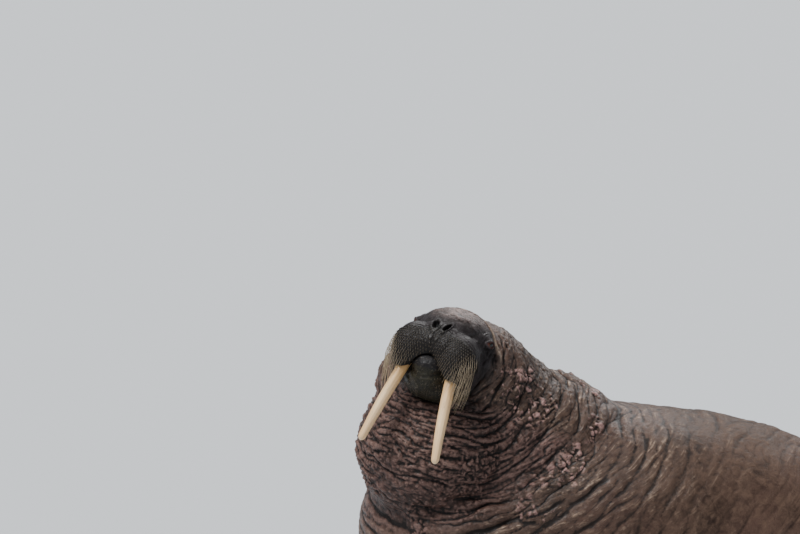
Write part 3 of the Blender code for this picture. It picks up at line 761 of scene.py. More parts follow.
# The limbs.
def flipper(name, path, widths, thickness, digits):
    """A flat limb along path with its digits as ridges that part into scallops, and the place of each claw."""
    last = len(path) - 1
    shares = np.concatenate((np.linspace(0, 0.90, 70, endpoint=False), 0.90 + 0.10 * np.sin(np.linspace(0, math.pi / 2, 26))))
    centres = spread(path, shares * last)
    across_widths = spread([(w,) for w in widths], shares * last)[:, 0]
    thick = spread([(t,) for t in thickness], shares * last)[:, 0]
    ahead = np.gradient(centres, axis=0)
    columns = 16 * digits
    top, under = [], []
    for r, share in enumerate(shares):
        way = Vector(ahead[r]).normalized()
        across = way.cross(Vector((0, 0, 1))).normalized()
        above = across.cross(way)
        webbed = max(0.0, (share - 0.40) / 0.60)
        rounded = math.sqrt(max(0.0, 1 - max(0.0, (share - 0.93) / 0.07) ** 2))
        for c in range(columns + 1):
            v = math.sin(math.pi / 2 * (2 * c / columns - 1))
            ridge = 0.5 - 0.5 * math.cos(math.pi * digits * (v + 1))
            knuckles = 1 + 0.16 * webbed * ridge * math.cos(share * 38)
            pull = 0.030 * webbed ** 2 * (1 - ridge) + 0.075 * webbed ** 3 * abs(v) ** 3
            middle = Vector(centres[r]) + across * (v * across_widths[r] / 2) - way * pull
            edge = max(0.0, 1 - v ** 4) ** 0.5
            half = (thick[r] / 2 * edge * (1 - 0.50 * webbed * (1 - ridge)) * knuckles + 0.004 * edge ** 0.3) * rounded
            top.append(middle + above * (half + 0.0003))
            under.append(middle - above * (half + 0.0003))
    row = int(np.searchsorted(shares, CLAW_SHARE))
    claws = []
    for digit in range(digits):
        v = (2 * digit + 1) / digits - 1
        column = round(columns / 2 * (1 + 2 / math.pi * math.asin(v)))
        root, tip = (top[r * (columns + 1) + column] for r in (row, row + 6))
        claws.append((root, (tip - root).normalized()))
    return grid_body(name, top, under, len(shares), columns + 1), claws


def grid_body(name, top, under, rows, columns):
    """A closed body from a grid of upper points and the grid under it."""
    lower = len(top)
    faces = []
    for r in range(rows - 1):
        for c in range(columns - 1):
            a = r * columns + c
            b, d, e = a + 1, a + columns, a + columns + 1
            faces += [(a, b, e), (a, e, d), (lower + a, lower + e, lower + b), (lower + a, lower + d, lower + e)]
    rim = list(range(columns))
    rim += [r * columns + columns - 1 for r in range(1, rows)]
    rim += [(rows - 1) * columns + c for c in range(columns - 2, -1, -1)]
    rim += [r * columns for r in range(rows - 2, 0, -1)]
    faces += [(a, lower + a, lower + b, b) for a, b in zip(rim, rim[1:] + rim[:1])]
    return mesh_object(name, top + under, faces)


def flippers():
    """Fore flippers spread beside the chest and hind flippers trailing, flat on the floor, and their claws."""
    x0, fore, hind = SHOULDER.x, FOREFLIPPER_LENGTH, HIND_FLIPPER_LENGTH
    rear = x0 + TRUNK_LENGTH
    made = []
    for side in (-1, 1):
        path = [
            (x0 + 0.05, side * 0.36, 0.165),
            (x0 + 0.03, side * 0.47, 0.105),
            (x0 + 0.03, side * 0.58, 0.050),
            (x0 + 0.08, side * (0.58 + fore * 0.50), 0.026),
            (x0 + 0.17, side * (0.58 + fore * 0.95), 0.012),
        ]
        made.append(flipper("fore", path, (0.28, 0.26, 0.25, 0.30, 0.25), (0.150, 0.130, 0.095, 0.060, 0.022), 5))
        path = [
            (rear - 0.16, side * 0.078, 0.095),
            (rear - 0.05, side * 0.090, 0.062),
            (rear + 0.05, side * 0.112, 0.040),
            (rear + hind * 0.50, side * 0.165, 0.024),
            (rear + hind * 0.90, side * 0.215, 0.011),
        ]
        made.append(flipper("hind", path, (0.11, 0.12, 0.14, 0.22, 0.33), (0.11, 0.10, 0.080, 0.052, 0.020), 5))
    limbs = [limb for limb, _ in made]
    for limb in limbs:
        points = points_of(limb)
        push(limb, 0.0012 * noise(points, 0.016, 32) + 0.0020 * noise(points, 0.035, 33))
    return limbs, [claw for _, claws in made for claw in claws]


def claw(root, way):
    """A small blunt nail, its root sunk in the digit and its tip a little raised."""
    length, radius = 0.026, 0.0052
    rise_up = Vector((0, 0, 1))
    share = np.linspace(0, 1, 14)
    thick = radius * np.sqrt(np.maximum(0.02, 1 - share ** 2.4))
    rows = []
    for t, r in zip(share, thick):
        place = root + way * (length * (t - 0.3)) + rise_up * (0.0045 * math.sin(math.pi * t) - 0.0015)
        rows.append((*place, r, r * 0.7))
    return loft("claw", np.array(rows), way.cross(rise_up), segments=20)


def tail():
    """The short blunt tail between the hind flippers."""
    rear = SHOULDER.x + TRUNK_LENGTH
    stations = [
        (rear - 0.12, 0, 0.130, 0.050, 0.045),
        (rear - 0.02, 0, 0.118, 0.040, 0.032),
        (rear + 0.05, 0, 0.106, 0.026, 0.020),
        (rear + 0.08, 0, 0.100, 0.008, 0.007),
    ]
    return loft("tail", evenly(stations, 30), (0, 1, 0), segments=40)


# The skin.
def seam_weights(points, seams, width):
    """From 1 on a seam to 0 at some distance."""
    tree = KDTree(len(seams))
    for k, place in enumerate(seams):
        tree.insert(place, k)
    tree.balance()
    low, high = np.min(seams, axis=0) - 3 * width, np.max(seams, axis=0) + 3 * width
    weights = np.zeros(len(points))
    for k in np.flatnonzero(((points > low) & (points < high)).all(axis=1)):
        weights[k] = math.exp(-(tree.find(points[k])[2] / width) ** 2)
    return weights


def seam_between(first, second):
    """Places where two surfaces cross."""
    graph = bpy.context.evaluated_depsgraph_get()
    trees = [BVHTree.FromObject(thing, graph) for thing in (first, second)]
    crossing = sorted({pair[0] for pair in trees[0].overlap(trees[1])})
    return [tuple(first.data.polygons[k].center) for k in crossing]


def near_openings(head):
    """Which points are on a whisker pad or close to an eye or a nostril, where the skin is finer."""
    places = in_head_frame(points_of(head))
    past = np.where(places[:, 1] > 0, from_pad_edge(places, 1), from_pad_edge(places, -1))
    found = (places[:, 0] > 0.06) & (past < 0.006)
    for side in (1, -1):
        found |= np.linalg.norm(places - (EYE.x + 0.004, side * (EYE.y + 0.012), EYE.z), axis=1) < 0.040
        found |= np.linalg.norm(places - (NOSTRIL.x, side * NOSTRIL.y, NOSTRIL.z), axis=1) < 0.042
    return found


def skin():
    """One closed skin over head, neck, trunk, limbs and tail, and the places of the claws on it."""
    body = fuse("skin", trunk_pieces() + neck_pieces(), BODY_VOXEL, 30)
    near = np.linalg.norm(points_of(body) - np.array(EYES), axis=1)
    refine(body, (near < 0.75) & (points_of(body)[:, 0] < SHOULDER.x + 0.55))
    soften(body, np.ones(len(body.data.vertices)), 3)
    shape_body(body)
    head = open_mouth(fuse("head", head_pieces(), HEAD_VOXEL, 32))
    head = fuse("head", [head], HEAD_VOXEL, 8)
    refine(head, near_openings(head))
    soften(head, near_openings(head).astype(float), 2)
    shape_head(head)
    bead_pads(head)
    jaw = fuse("jaw", [ball(centre, radii, HEAD) for centre, radii in JAW_BALLS], HEAD_VOXEL, 20)
    shape_jaw(jaw)
    limbs, claws = flippers()
    limbs.append(tail())
    wide = [place for limb in limbs for place in seam_between(body, limb)]
    narrow = seam_between(body, head) + seam_between(body, jaw)
    unite(body, [head, jaw, *limbs])
    points = points_of(body)
    soften(body, np.maximum(seam_weights(points, wide, 0.028), 0), 14)
    soften(body, seam_weights(points_of(body), narrow, 0.008), 4)
    points = points_of(body)
    points[:, 2] = np.maximum(points[:, 2], 0.0004)
    place_points(body, points)
    return body, claws


def keep_values(thing, name, values):
    """Stores one number for each corner of the mesh, for the materials."""
    layer = thing.data.attributes.new(name, "FLOAT", "POINT")
    layer.data.foreach_set("value", np.asarray(values, np.float32))


def mark_skin(body):
    """What the skin's material reads: ridges and creases, the way folds run, where each kind of hide is, and where
    shade and highlights are painted.
    """
    points = points_of(body)
    ends = edges_of(body)
    normals = normals_of(body)
    relief = ((points - blurred(points, ends, 14)) * normals).sum(axis=1)
    places = in_head_frame(points)
    ahead, left, up = places.T
    along = spine_place(points)
    past = np.where(left > 0, from_pad_edge(places, 1), from_pad_edge(places, -1))
    snout = rise(ahead, 0.045, 0.085) * (np.abs(left) < 0.25) * rise(up, -0.34, -0.30)
    pad = snout * rise(-past, -0.004, 0.006)
    jaw = rise(-from_jaw(places), -0.014, -0.002) * rise(ahead, -0.06, 0.0)
    face = rise(hood_line(places) + 0.012 * noise(points, 0.025, 24), -0.006, 0.026) * (np.abs(left) < 0.25) * rise(up, -0.30, -0.22)
    crown = bell(left, 0.12) * rise(up, 0.015, 0.080) * rise(ahead, -0.20, -0.08)
    hood = rise(-hood_line(places), -0.004, 0.006) * rise(along, 0.45, 0.60)
    # The hood's ridge, where a painted highlight runs along it.
    edge_of_hood = bell(hood_line(places), 0.006) * rise(up, -0.10, 0.02)
    throat = rise(along, 0.20, 0.36) * rise(-up, 0.19, 0.27) * (1 - jaw) * (1 - rise(ahead, 0.05, 0.09))
    # Where the nostrils, ear slits and the dents under the eyes are painted near black: painted shade in these
    # recesses.
    hole = np.zeros(len(points))
    red = np.zeros(len(points))
    for side in (1, -1):
        edge, front = eye_opening(places, side)
        reach = np.linalg.norm(places - (EYE.x, side * EYE.y, EYE.z), axis=1)
        red = np.maximum(red, front * (reach < EYE_RADIUS + 0.012) * bell(edge, 0.003))
        # A dent under each eye, painted near black through the hole mask: painted shade.
        wet = np.linalg.norm((places - (0.006, side * 0.152, -0.050)) * (1, 1, 0.6), axis=1)
        hole = np.maximum(hole, 0.75 * bell(wet, 0.019))
        hole = np.maximum(hole, bell(ear_distance(places, side), 1.0))
    hole = np.maximum(hole, rise(-shape_nostrils(places), 0.006, 0.014))
    keep_values(body, "relief", relief * 1000)
    keep_values(body, "pad", pad)
    keep_values(body, "face", face)
    keep_values(body, "jaw", jaw)
    keep_values(body, "lip", jaw * rise(up + 0.003 * noise(points, 0.01, 32), -0.184, -0.172) * rise(ahead, 0.09, 0.12))
    keep_values(body, "crown", crown * (1 - hood))
    # The hood's ridge: painted highlight.
    keep_values(body, "hood", edge_of_hood)
    keep_values(body, "throat", throat)
    keep_values(body, "hole", hole)
    keep_values(body, "red", red)
    keep_values(body, "lumps", nodules(points, along))
    keep_values(body, "neck", neck_share(points, along))
    # How much the skin faces up, for the painted highlight on the hide's upper crests.
    keep_values(body, "top", rise(normals[:, 2], -0.1, 0.7))
    layer = body.data.attributes.new("lie", "FLOAT_VECTOR", "POINT")
    lie = round_body(points, collar(points) + 0.024 * noise(points, 0.17, 1) + 0.011 * noise(points, 0.07, 2))
    layer.data.foreach_set("vector", lie.astype(np.float32).ravel())


# Tusks and eyes.
def tusk(name, side):
    """One curved tusk, oval in section, faintly fluted, with a blunt worn tip."""
    steps = 90
    axis = evenly(tusk_axis(side), steps)
    share = np.linspace(0, 1, steps)
    thick = TUSK_RADIUS * (1 - 0.34 * share ** 2.2)
    way = axis[-1] - axis[-2]
    way /= np.linalg.norm(way)
    past = np.sin(np.linspace(0.08, math.pi / 2, 14))
    tip = axis[-1] + way * 0.020 * past[:, None]
    tip_thick = thick[-1] * np.sqrt(np.maximum(1 - past ** 2, 0.0004))
    axis = np.concatenate((axis, tip))
    thick = np.concatenate((thick, tip_thick))
    world = axis @ np.array((FORWARD, LEFT, UP)) + np.array(EYES)
    made = loft(name, np.column_stack((world, thick, thick * 1.14)), LEFT, segments=72)
    points = points_of(made)
    ring = np.minimum(np.arange(len(points)) // 72, len(axis) - 1)
    turn = (np.arange(len(points)) % 72) / 72 * 2 * math.pi
    down = np.linspace(0, 1, len(axis))[ring]
    flutes = 0.0004 * np.cos(5 * turn + 2 * down + side) + 0.0003 * np.cos(11 * turn - 3 * down)
    heights = (flutes + 0.0006 * noise(points, 0.03, 35)) * (1 - rise(down, 0.90, 1.0))
    push(made, heights - 0.0004)
    keep_values(made, "down", down)
    grain = np.column_stack((np.cos(turn) * 0.02, np.sin(turn) * 0.02, down * 0.03))
    layer = made.data.attributes.new("grain", "FLOAT_VECTOR", "POINT")
    layer.data.foreach_set("vector", grain.astype(np.float32).ravel())
    return made


def eyeball(name, side):
    """An eyeball with its clear bulge over the iris."""
    gaze = eye_axes(side)[0]
    centre = np.array((EYE.x, side * EYE.y, EYE.z))
    made = ball(HEAD @ Vector(centre), (1, 1, 1), segments=96)
    made.name = name
    points = points_of(made) - np.array(HEAD @ Vector(centre))
    facing = points @ (gaze @ np.array((FORWARD, LEFT, UP)))
    reach = EYE_RADIUS + 0.0010 * rise(facing, 0.80, 0.95)
    place_points(made, points * reach[:, None] + np.array(HEAD @ Vector(centre)))
    keep_values(made, "facing", facing)
    return made


# Whiskers.
def bristles(name, roots, outward, droop, lengths, radius, places, sides=5, steps=8):
    """Many fine bent bristles as one mesh, with a patch of the bake's map for each at its root's place."""
    t = np.linspace(0, 1, steps)[None, :, None]
    span = lengths[:, None, None]
    middle = roots[:, None] + outward[:, None] * span * (0.92 * t - 0.36 * t ** 2) + droop[:, None] * span * 0.72 * t ** 1.8
    middle -= outward[:, None] * 0.003 * (t == 0)
    way = np.gradient(middle, axis=1)
    way /= np.linalg.norm(way, axis=2, keepdims=True)
    across = np.cross(way, droop[:, None] + 1e-4)
    across /= np.linalg.norm(across, axis=2, keepdims=True)
    over = np.cross(across, way)
    thick = radius[:, None, None] * (1 - 0.78 * t ** 1.3)
    turns = np.linspace(0, 2 * math.pi, sides, endpoint=False)
    rings = [middle + (across * math.cos(turn) + over * math.sin(turn)) * thick for turn in turns]
    points = np.stack(rings, axis=2).reshape(-1, 3)
    count = len(roots)
    base = (np.arange(count) * steps * sides)[:, None, None]
    ring = (np.arange(steps - 1) * sides)[None, :, None]
    k = np.arange(sides)[None, None, :]
    after = (k + 1) % sides
    quads = np.stack((base + ring + k, base + ring + after, base + ring + sides + after, base + ring + sides + k), axis=-1)
    quads = quads.reshape(-1, 4)
    caps = []
    for start in (0, (steps - 1) * sides):
        order = range(sides) if start else range(sides - 1, -1, -1)
        caps += (base[:, 0, 0][:, None] + start + np.array(list(order))).tolist()
    mesh = bpy.data.meshes.new(name)
    mesh.from_pydata(points.tolist(), [], quads.tolist() + caps)
    made = object_of(name, mesh)
    corner = np.empty(len(mesh.loops), np.int32)
    mesh.loops.foreach_get("vertex_index", corner)
    whose, which = corner // (steps * sides), corner % (steps * sides)
    patch = np.column_stack((which % sides / sides - 0.5, which // sides / steps - 0.5)) * 0.003
    layer = mesh.uv_layers.new(name="OFBake")
    layer.data.foreach_set("uv", (places[whose] + patch).astype(np.float32).ravel())
    pale = 0.30 + 0.70 * np.clip((lengths - 0.006) / 0.030, 0, 1)
    keep_values(made, "tip", np.tile(np.repeat(np.linspace(0, 1, steps), sides), count) * np.repeat(pale, steps * sides))
    return made


def bristle_length(place):
    """Stubble high on a pad, short dashes in the middle and long bristles only at its lower outer edge."""
    low = min(1, max(0, (-0.070 - place.z) / 0.125))
    outer = min(1, max(0, (abs(place.y) - 0.040) / 0.110))
    return 0.004 + 0.009 * low + 0.065 * low ** 2.5 * outer ** 2 + 0.050 * outer ** 8 * min(1, 2 * low)


def on_pad(place, side):
    """Whether a place of the head bears whiskers: on this side, inside the pad's edge, clear of mouth and tusk."""
    spot = np.array([place])
    if place.x < 0.070 or place.y * side < 0.003 or from_pad_edge(spot, side)[0] > -0.006:
        return False
    clear = place.z > pad_edge(place.y) + 0.005
    return clear and from_jaw(spot)[0] > 0.006 and from_tusks(spot)[0] > 0.004


def pad_bristles(surface, side):
    """Rows of whiskers over one pad, each where a ray from inside the pad leaves it."""
    rows, columns = 17, 22
    dice = random.Random(11 + side)
    heart = Vector((PAD_HEART.x, side * PAD_HEART.y, PAD_HEART.z))
    found = []
    for row in range(rows):
        low = (row / (rows - 1)) ** 1.12
        for column in range(columns):
            out = -0.88 + 1.88 * (column + 0.5 * (row % 2)) / columns + dice.uniform(-0.010, 0.010)
            height = 0.68 - 1.52 * low - 0.10 * out * out + dice.uniform(-0.008, 0.008)
            stray = Vector([dice.uniform(-0.13, 0.13) for _ in range(3)])
            own_length = dice.uniform(0.75, 1.12)
            front = 1 - (out * 0.90) ** 2 - (height * 0.88) ** 2
            if front < 0.01:
                continue
            aim = Vector((math.sqrt(front), side * out, height)).normalized()
            root, normal = surface.ray_cast(HEAD @ heart, AXES @ aim)[:2]
            if root is None or not on_pad(HEAD.inverted() @ root, side):
                continue
            place = HEAD.inverted() @ root
            length = own_length * bristle_length(place)
            down = min(1, length / 0.08)
            aside = Vector((0.10, side * 0.22 * out, -0.62 - 0.45 * down))
            outward = (normal + AXES @ aside + Vector((0, 0, -0.25))).normalized()
            inward = -side * (0.16 + 0.42 * down)
            droop = (AXES @ Vector((-0.14, inward, -1)) + Vector((0, 0, -0.4)) + stray).normalized()
            radius = 0.00075 + 0.00025 * down
            turn = math.atan2(aim.y * side, aim.x) / math.pi
            map_place = (0.5 + side * (0.02 + 0.44 * (0.5 + turn) / 1.1), 0.5 + 0.45 * aim.z)
            found.append((root, outward + stray * 0.35, droop, length, radius, map_place))
    return found


def chin_bristles(surface):
    """Short stubble over the chin and the lower lip."""
    dice = random.Random(5)
    heart = Vector((0.060, 0, -0.190))
    found = []
    while len(found) < 260:
        aim = Vector((dice.uniform(0.1, 1), dice.uniform(-0.9, 0.9), dice.uniform(-0.9, 0.45))).normalized()
        root, normal = surface.ray_cast(HEAD @ heart, AXES @ aim)[:2]
        place = HEAD.inverted() @ root
        if abs(from_jaw(np.array([place]))[0]) > 0.006 or place.z > -0.140:
            found.append(None)
            continue
        droop = (AXES @ Vector((0.1, 0, -1))).normalized()
        outward = (normal + droop * 0.6).normalized()
        found.append((root, outward, droop, dice.uniform(0.0035, 0.007), 0.0005, (0.5 + 0.3 * aim.y, 0.5 + 0.4 * aim.z)))
    return [one for one in found if one]


def grow(name, found):
    columns = list(zip(*found))
    vectors = [np.array([tuple(v) for v in column]) for column in columns[:3]]
    outward = vectors[1] / np.linalg.norm(vectors[1], axis=1, keepdims=True)
    return bristles(name, vectors[0], outward, vectors[2], np.array(columns[3]), np.array(columns[4]), np.array(columns[5]))


# Materials.
def new_material(name):
    made = bpy.data.materials.new(name)
    made.use_nodes = True
    return made, made.node_tree, made.node_tree.nodes["Principled BSDF"]


def node(tree, kind, inputs=(), **settings):
    """A node with its settings, and inputs by name or number, each a value or another node's socket."""
    made = tree.nodes.new(kind)
    for name, value in settings.items():
        setattr(made, name, value)
    for name, value in dict(inputs).items():
        feed(tree, made.inputs[name], value)
    return made


def feed(tree, socket, value):
    if isinstance(value, bpy.types.NodeSocket):
        tree.links.new(value, socket)
    else:
        socket.default_value = value


def attribute(tree, name, output="Fac"):
    return node(tree, "ShaderNodeAttribute", attribute_name=name).outputs[output]


def math_node(tree, operation, *values):
    return node(tree, "ShaderNodeMath", enumerate(values), operation=operation, use_clamp=False).outputs[0]


def between(tree, value, low, high, bottom=0.0, top=1.0):
    """A value rescaled from low..high to bottom..top, and kept there."""
    inputs = {"Value": value, "From Min": low, "From Max": high, "To Min": bottom, "To Max": top}
    return node(tree, "ShaderNodeMapRange", inputs, clamp=True).outputs[0]


def mixed(tree, share, first, second):
    """Two colours mixed. Each is a tuple of three or a socket."""
    made = node(tree, "ShaderNodeMix", data_type="RGBA")
    colour = [value if isinstance(value, bpy.types.NodeSocket) else (*value, 1) for value in (first, second)]
    feed(tree, made.inputs["Factor"], share)
    feed(tree, made.inputs[6], colour[0])
    feed(tree, made.inputs[7], colour[1])
    return made.outputs[2]


def noise_node(tree, where, scale, detail=4.0, roughness=0.55, distortion=0.0):
    inputs = {"Vector": where, "Scale": scale, "Detail": detail, "Roughness": roughness, "Distortion": distortion}
    return node(tree, "ShaderNodeTexNoise", inputs).outputs["Fac"]


def bumped(tree, shader, steps):
    """Stacked bumps, each of a height, a distance in metres and a strength."""
    normal = None
    for height, distance, strength in steps:
        inputs = {"Height": height, "Distance": distance, "Strength": strength}
        if normal:
            inputs["Normal"] = normal
        normal = node(tree, "ShaderNodeBump", inputs).outputs[0]
    tree.links.new(normal, shader.inputs["Normal"])
    return normal


def hide_material():
    """Thick wet hide: brown, with painted near-black shade in its creases and fine wrinkles, tan ridges that are partly
    real wear and partly painted highlight, pink lumps, a dark face, near-black pads, painted shade in the nostrils, ear
    slits and under the eyes, and a painted highlight along the hood's edge.
    """
    made, tree, shader = new_material("walrus_hide")
    where = node(tree, "ShaderNodeTexCoord").outputs["Object"]
    lie = attribute(tree, "lie", "Vector")
    blotches = noise_node(tree, where, 5.0, 5.0, 0.6)
    mottle = noise_node(tree, where, 34.0, 5.0, 0.65, 0.6)
    fine = noise_node(tree, where, 190.0, 4.0, 0.6)
    strands = noise_node(tree, lie, 75.0, 5.0, 0.65, 0.5)
    wrinkles = noise_node(tree, lie, 170.0, 3.0, 0.6, 0.8)
    lines = between(tree, math_node(tree, "ABSOLUTE", math_node(tree, "SUBTRACT", wrinkles, 0.5)), 0.0, 0.05)
    relief = attribute(tree, "relief")
    broad = noise_node(tree, where, 1.8, 3.0, 0.5)
    brown = mixed(tree, between(tree, blotches, 0.35, 0.65), (0.026, 0.015, 0.011), (0.066, 0.040, 0.029))
    brown = mixed(tree, between(tree, broad, 0.42, 0.62, 0.0, 0.45), brown, (0.105, 0.056, 0.043))
    brown = mixed(tree, between(tree, mottle, 0.35, 0.70, 0.0, 0.7), brown, (0.118, 0.072, 0.050))
    # Tan on the fold crests and along the strands: partly real wear, partly painted highlight on the lit crests.
    worn_and_lit = math_node(tree, "MULTIPLY", between(tree, relief, 0.2, 1.5), between(tree, strands, 0.50, 0.64))
    worn_and_lit = math_node(tree, "MULTIPLY", worn_and_lit, between(tree, mottle, 0.38, 0.58, 0.15, 1.0))
    # Paler where the skin faces up: painted highlight from the light above.
    worn_and_lit = math_node(tree, "MULTIPLY", worn_and_lit, between(tree, attribute(tree, "top"), 0.0, 1.0, 0.45, 1.0))
    neck = attribute(tree, "neck")
    worn_and_lit = math_node(tree, "MULTIPLY", worn_and_lit, between(tree, neck, 0.0, 1.0, 0.25, 1.0))
    brown = mixed(tree, worn_and_lit, brown, (0.40, 0.29, 0.21))
    rosy = math_node(tree, "MULTIPLY", attribute(tree, "lumps"), between(tree, mottle, 0.36, 0.54))
    brown = mixed(tree, between(tree, rosy, 0.08, 0.50, 0.0, 0.85), brown, (0.38, 0.22, 0.195))
    ruddy = mixed(tree, between(tree, mottle, 0.40, 0.62), (0.036, 0.019, 0.014), (0.115, 0.062, 0.050))
    # The throat's fold crests painted lighter: painted highlight.
    ruddy = mixed(tree, between(tree, relief, 0.2, 1.8, 0.0, 0.7), ruddy, (0.20, 0.120, 0.098))
    colour = mixed(tree, attribute(tree, "throat"), brown, ruddy)
    grey = mixed(tree, between(tree, mottle, 0.35, 0.65), (0.015, 0.0115, 0.011), (0.038, 0.031, 0.032))
    colour = mixed(tree, attribute(tree, "face"), colour, grey)
    tan = mixed(tree, between(tree, mottle, 0.38, 0.62), (0.075, 0.048, 0.040), (0.28, 0.200, 0.175))
    colour = mixed(tree, attribute(tree, "crown"), colour, tan)
    # A pale line painted along the hood's ridge fold: painted highlight.
    hood_edge_highlight = math_node(tree, "MULTIPLY", attribute(tree, "hood"), between(tree, mottle, 0.36, 0.56, 0.2, 0.9))
    colour = mixed(tree, hood_edge_highlight, colour, (0.36, 0.27, 0.20))
    black = mixed(tree, between(tree, fine, 0.40, 0.62), (0.004, 0.0034, 0.003), (0.014, 0.011, 0.009))
    colour = mixed(tree, attribute(tree, "pad"), colour, black)
    green = mixed(tree, between(tree, fine, 0.38, 0.60), (0.006, 0.0054, 0.0035), (0.028, 0.025, 0.014))
    colour = mixed(tree, attribute(tree, "jaw"), colour, green)
    colour = mixed(tree, attribute(tree, "lip"), colour, (0.0085, 0.0075, 0.0080))
    # Near black in the deep creases: painted shade.
    crease = math_node(tree, "MULTIPLY", between(tree, relief, -1.4, 0.1, 0.92, 0.0), between(tree, neck, 0, 1, 0.6, 1))
    colour = mixed(tree, crease, colour, (0.005, 0.0035, 0.003))
    # Dark lines in the grooves of the fine bumped wrinkles: painted shade.
    dark_lines = math_node(tree, "MULTIPLY", between(tree, lines, 0.0, 1.0, 0.65, 0.0), neck)
    colour = mixed(tree, dark_lines, colour, (0.010, 0.007, 0.006))
    colour = mixed(tree, attribute(tree, "red"), colour, (0.060, 0.018, 0.016))
    # Near black in the nostrils, ear slits and the dents under the eyes: painted shade.
    colour = mixed(tree, attribute(tree, "hole"), colour, (0.003, 0.0025, 0.003))
    tree.links.new(colour, shader.inputs["Base Color"])
    dry = math_node(tree, "ADD", between(tree, mottle, 0.30, 0.70, 0.36, 0.60), between(tree, neck, 0.0, 1.0, 0.16, 0.0))
    tree.links.new(dry, shader.inputs["Roughness"])
    shader.inputs["Specular IOR Level"].default_value = 0.12
    shader.inputs["Coat Roughness"].default_value = 0.22
    cells = node(tree, "ShaderNodeTexVoronoi", {"Vector": where, "Scale": 75.0, "Randomness": 1.0}, feature="DISTANCE_TO_EDGE")
    cracks = between(tree, cells.outputs["Distance"], 0.0, 0.16)
    folded = math_node(tree, "MULTIPLY", lines, neck)
    combed = math_node(tree, "MULTIPLY", strands, between(tree, neck, 0.0, 1.0, 0.10, 1.0))
    tree.links.new(between(tree, neck, 0.0, 1.0, 0.03, 0.20), shader.inputs["Coat Weight"])
    steps = [(mottle, 0.006, 0.5), (combed, 0.005, 0.4), (folded, 0.0012, 0.45), (cracks, 0.0012, 0.3), (fine, 0.0014, 0.4)]
    normal = bumped(tree, shader, steps)
    tree.links.new(normal, shader.inputs["Coat Normal"])
    return made


def ivory_material():
    """Old ivory: creamy, stained tan at the root, with fine lengthwise cracks and a soft polish."""
    made, tree, shader = new_material("tusk_ivory")
    grain = attribute(tree, "grain", "Vector")
    down = attribute(tree, "down")
    streaks = noise_node(tree, grain, 220.0, 5.0, 0.6, 0.4)
    broad = noise_node(tree, grain, 45.0, 3.0, 0.5)
    colour = mixed(tree, between(tree, broad, 0.35, 0.65), (0.78, 0.49, 0.24), (0.94, 0.70, 0.42))
    stain = math_node(tree, "MULTIPLY", between(tree, down, 0.12, 0.55, 0.9, 0.0), between(tree, broad, 0.35, 0.6, 0.6, 1.0))
    colour = mixed(tree, stain, colour, (0.58, 0.32, 0.11))
    cracks = between(tree, streaks, 0.60, 0.70, 0.0, 0.55)
    colour = mixed(tree, cracks, colour, (0.34, 0.20, 0.10))
    colour = mixed(tree, between(tree, down, 0.90, 1.0, 0.0, 0.5), colour, (0.85, 0.74, 0.55))
    tree.links.new(colour, shader.inputs["Base Color"])
    tree.links.new(between(tree, streaks, 0.3, 0.7, 0.26, 0.42), shader.inputs["Roughness"])
    shader.inputs["Subsurface Weight"].default_value = 0.08
    shader.inputs["Subsurface Radius"].default_value = (0.006, 0.004, 0.002)
    bumped(tree, shader, [(streaks, 0.0006, 0.5)])
    return made


def eye_material():
    """A wet brown eye with a dark pupil and a bloodshot white."""
    made, tree, shader = new_material("eye")
    where = node(tree, "ShaderNodeTexCoord").outputs["Object"]
    facing = attribute(tree, "facing")
    veins = noise_node(tree, where, 420.0, 4.0, 0.7, 1.5)
    white = mixed(tree, between(tree, veins, 0.45, 0.60), (0.24, 0.085, 0.080), (0.14, 0.020, 0.018))
    iris = mixed(tree, between(tree, veins, 0.35, 0.65), (0.035, 0.012, 0.006), (0.080, 0.028, 0.012))
    colour = mixed(tree, between(tree, facing, 0.78, 0.84), white, iris)
    colour = mixed(tree, between(tree, facing, 0.935, 0.95), colour, (0.003, 0.003, 0.003))
    tree.links.new(colour, shader.inputs["Base Color"])
    shader.inputs["Roughness"].default_value = 0.08
    shader.inputs["Specular IOR Level"].default_value = 0.30
    shader.inputs["Coat Weight"].default_value = 0.15
    shader.inputs["Coat Roughness"].default_value = 0.03
    return made


def bristle_material():
    """Pale horny whiskers, darker at the root."""
    made, tree, shader = new_material("whisker")
    where = node(tree, "ShaderNodeTexCoord").outputs["Object"]
    tip = attribute(tree, "tip")
    tint = noise_node(tree, where, 60.0, 2.0, 0.5)
    colour = mixed(tree, between(tree, tint, 0.35, 0.65), (0.28, 0.21, 0.13), (0.44, 0.35, 0.23))
    colour = mixed(tree, between(tree, tip, 0.0, 0.50, 1.0, 0.0), colour, (0.045, 0.030, 0.020))
    tree.links.new(colour, shader.inputs["Base Color"])
    tree.links.new(between(tree, tint, 0.3, 0.7, 0.32, 0.50), shader.inputs["Roughness"])
    return made


def claw_material():
    """Dark horn with paler lengthwise streaks."""
    made, tree, shader = new_material("claw")
    where = node(tree, "ShaderNodeTexCoord").outputs["Object"]
    streaks = noise_node(tree, where, 260.0, 3.0, 0.6)
    colour = mixed(tree, between(tree, streaks, 0.40, 0.65), (0.030, 0.022, 0.016), (0.150, 0.110, 0.075))
    tree.links.new(colour, shader.inputs["Base Color"])
    tree.links.new(between(tree, streaks, 0.3, 0.7, 0.28, 0.45), shader.inputs["Roughness"])
    bumped(tree, shader, [(streaks, 0.0006, 0.4)])
    return made


def floor_material():
    made, tree, shader = new_material("pale_floor")
    shader.inputs["Base Color"].default_value = (0.50, 0.52, 0.54, 1)
    shader.inputs["Roughness"].default_value = 0.9
    return made


# The stage.
def add_floor():
    side = 300.0
    corners = [(-side, -side, 0), (side, -side, 0), (side, side, 0), (-side, side, 0)]
    floor = mesh_object("floor", corners, [(0, 1, 2, 3)])
    floor.data.materials.append(floor_material())


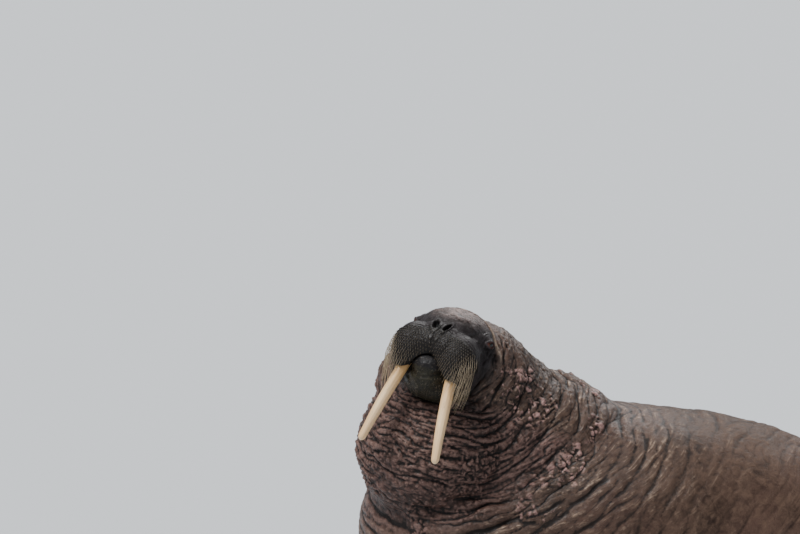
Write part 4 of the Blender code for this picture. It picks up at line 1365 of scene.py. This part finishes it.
def add_light():
    world = bpy.data.worlds.new("sky")
    world.use_nodes = True
    background = world.node_tree.nodes["Background"]
    background.inputs["Color"].default_value = (0.86, 0.92, 1.0, 1)
    background.inputs["Strength"].default_value = 0.32
    bpy.context.scene.world = world
    for name, place, strength, angle in (("key", (-3.5, -3, 8), 4.6, 28), ("rim", (3, 6, 6), 1.8, 40)):
        lamp = bpy.data.lights.new(name, "SUN")
        lamp.energy = strength
        lamp.angle = math.radians(angle)
        thing = object_of(name, lamp)
        thing.rotation_euler = Vector(place).to_track_quat("Z", "Y").to_euler()


def add_camera():
    """A long lens at the photograph's angle, with the eyes where the photograph has them."""
    back = Vector((
        math.sin(VIEW_AZIMUTH) * math.cos(VIEW_ELEVATION),
        -math.cos(VIEW_AZIMUTH) * math.cos(VIEW_ELEVATION),
        math.sin(VIEW_ELEVATION),
    ))
    right = Vector((0, 0, 1)).cross(back).normalized()
    above = back.cross(right)
    across = (PHOTO_WIDTH / 2 - EYES_IN_PHOTO[0]) / PIXELS_PER_METRE
    down = (PHOTO_HEIGHT / 2 - EYES_IN_PHOTO[1]) / PIXELS_PER_METRE
    distance = PHOTO_WIDTH / PIXELS_PER_METRE * LENS / SENSOR
    lens = bpy.data.cameras.new("camera")
    lens.lens = LENS
    lens.sensor_width = SENSOR
    lens.clip_end = 1000
    camera = object_of("camera", lens)
    camera.location = EYES + right * across - above * down + back * distance
    camera.rotation_euler = back.to_track_quat("Z", "Y").to_euler()
    bpy.context.scene.camera = camera


# Putting it together.
def dress(piece, nodes, look, smooth=True):
    piece.data.materials.clear()
    piece.data.materials.append(look)
    piece.data.polygons.foreach_set("use_smooth", [smooth] * len(piece.data.polygons))
    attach(piece, "root")
    if nodes:
        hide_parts(*nodes)


def main():
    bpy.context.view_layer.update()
    body, claws = skin()
    mark_skin(body)
    surface = BVHTree.FromObject(body, bpy.context.evaluated_depsgraph_get())
    flesh = ["head", "muzzle", "lower_jaw", "neck", "torso", "hindquarters", "tail"]
    flesh += [f"{end}_flipper_{side}" for end in ("fore", "hind") for side in ("left", "right")]
    dress(body, flesh, hide_material())
    ivory, wet = ivory_material(), eye_material()
    for name, side in (("left", 1), ("right", -1)):
        dress(tusk(f"fine_tusk_{name}", side), [f"tusk_{name}"], ivory)
        dress(eyeball(f"fine_eye_{name}", side), [f"eye_{name}"], wet)
    horn = bristle_material()
    dress(join("claws", [claw(root, way) for root, way in claws]), [], claw_material())
    dress(grow("whiskers_left", pad_bristles(surface, 1)), [], horn)
    dress(grow("whiskers_right", pad_bristles(surface, -1)), [], horn)
    dress(grow("chin_stubble", chin_bristles(surface)), [], horn)
    add_floor()
    add_light()
    add_camera()


main()
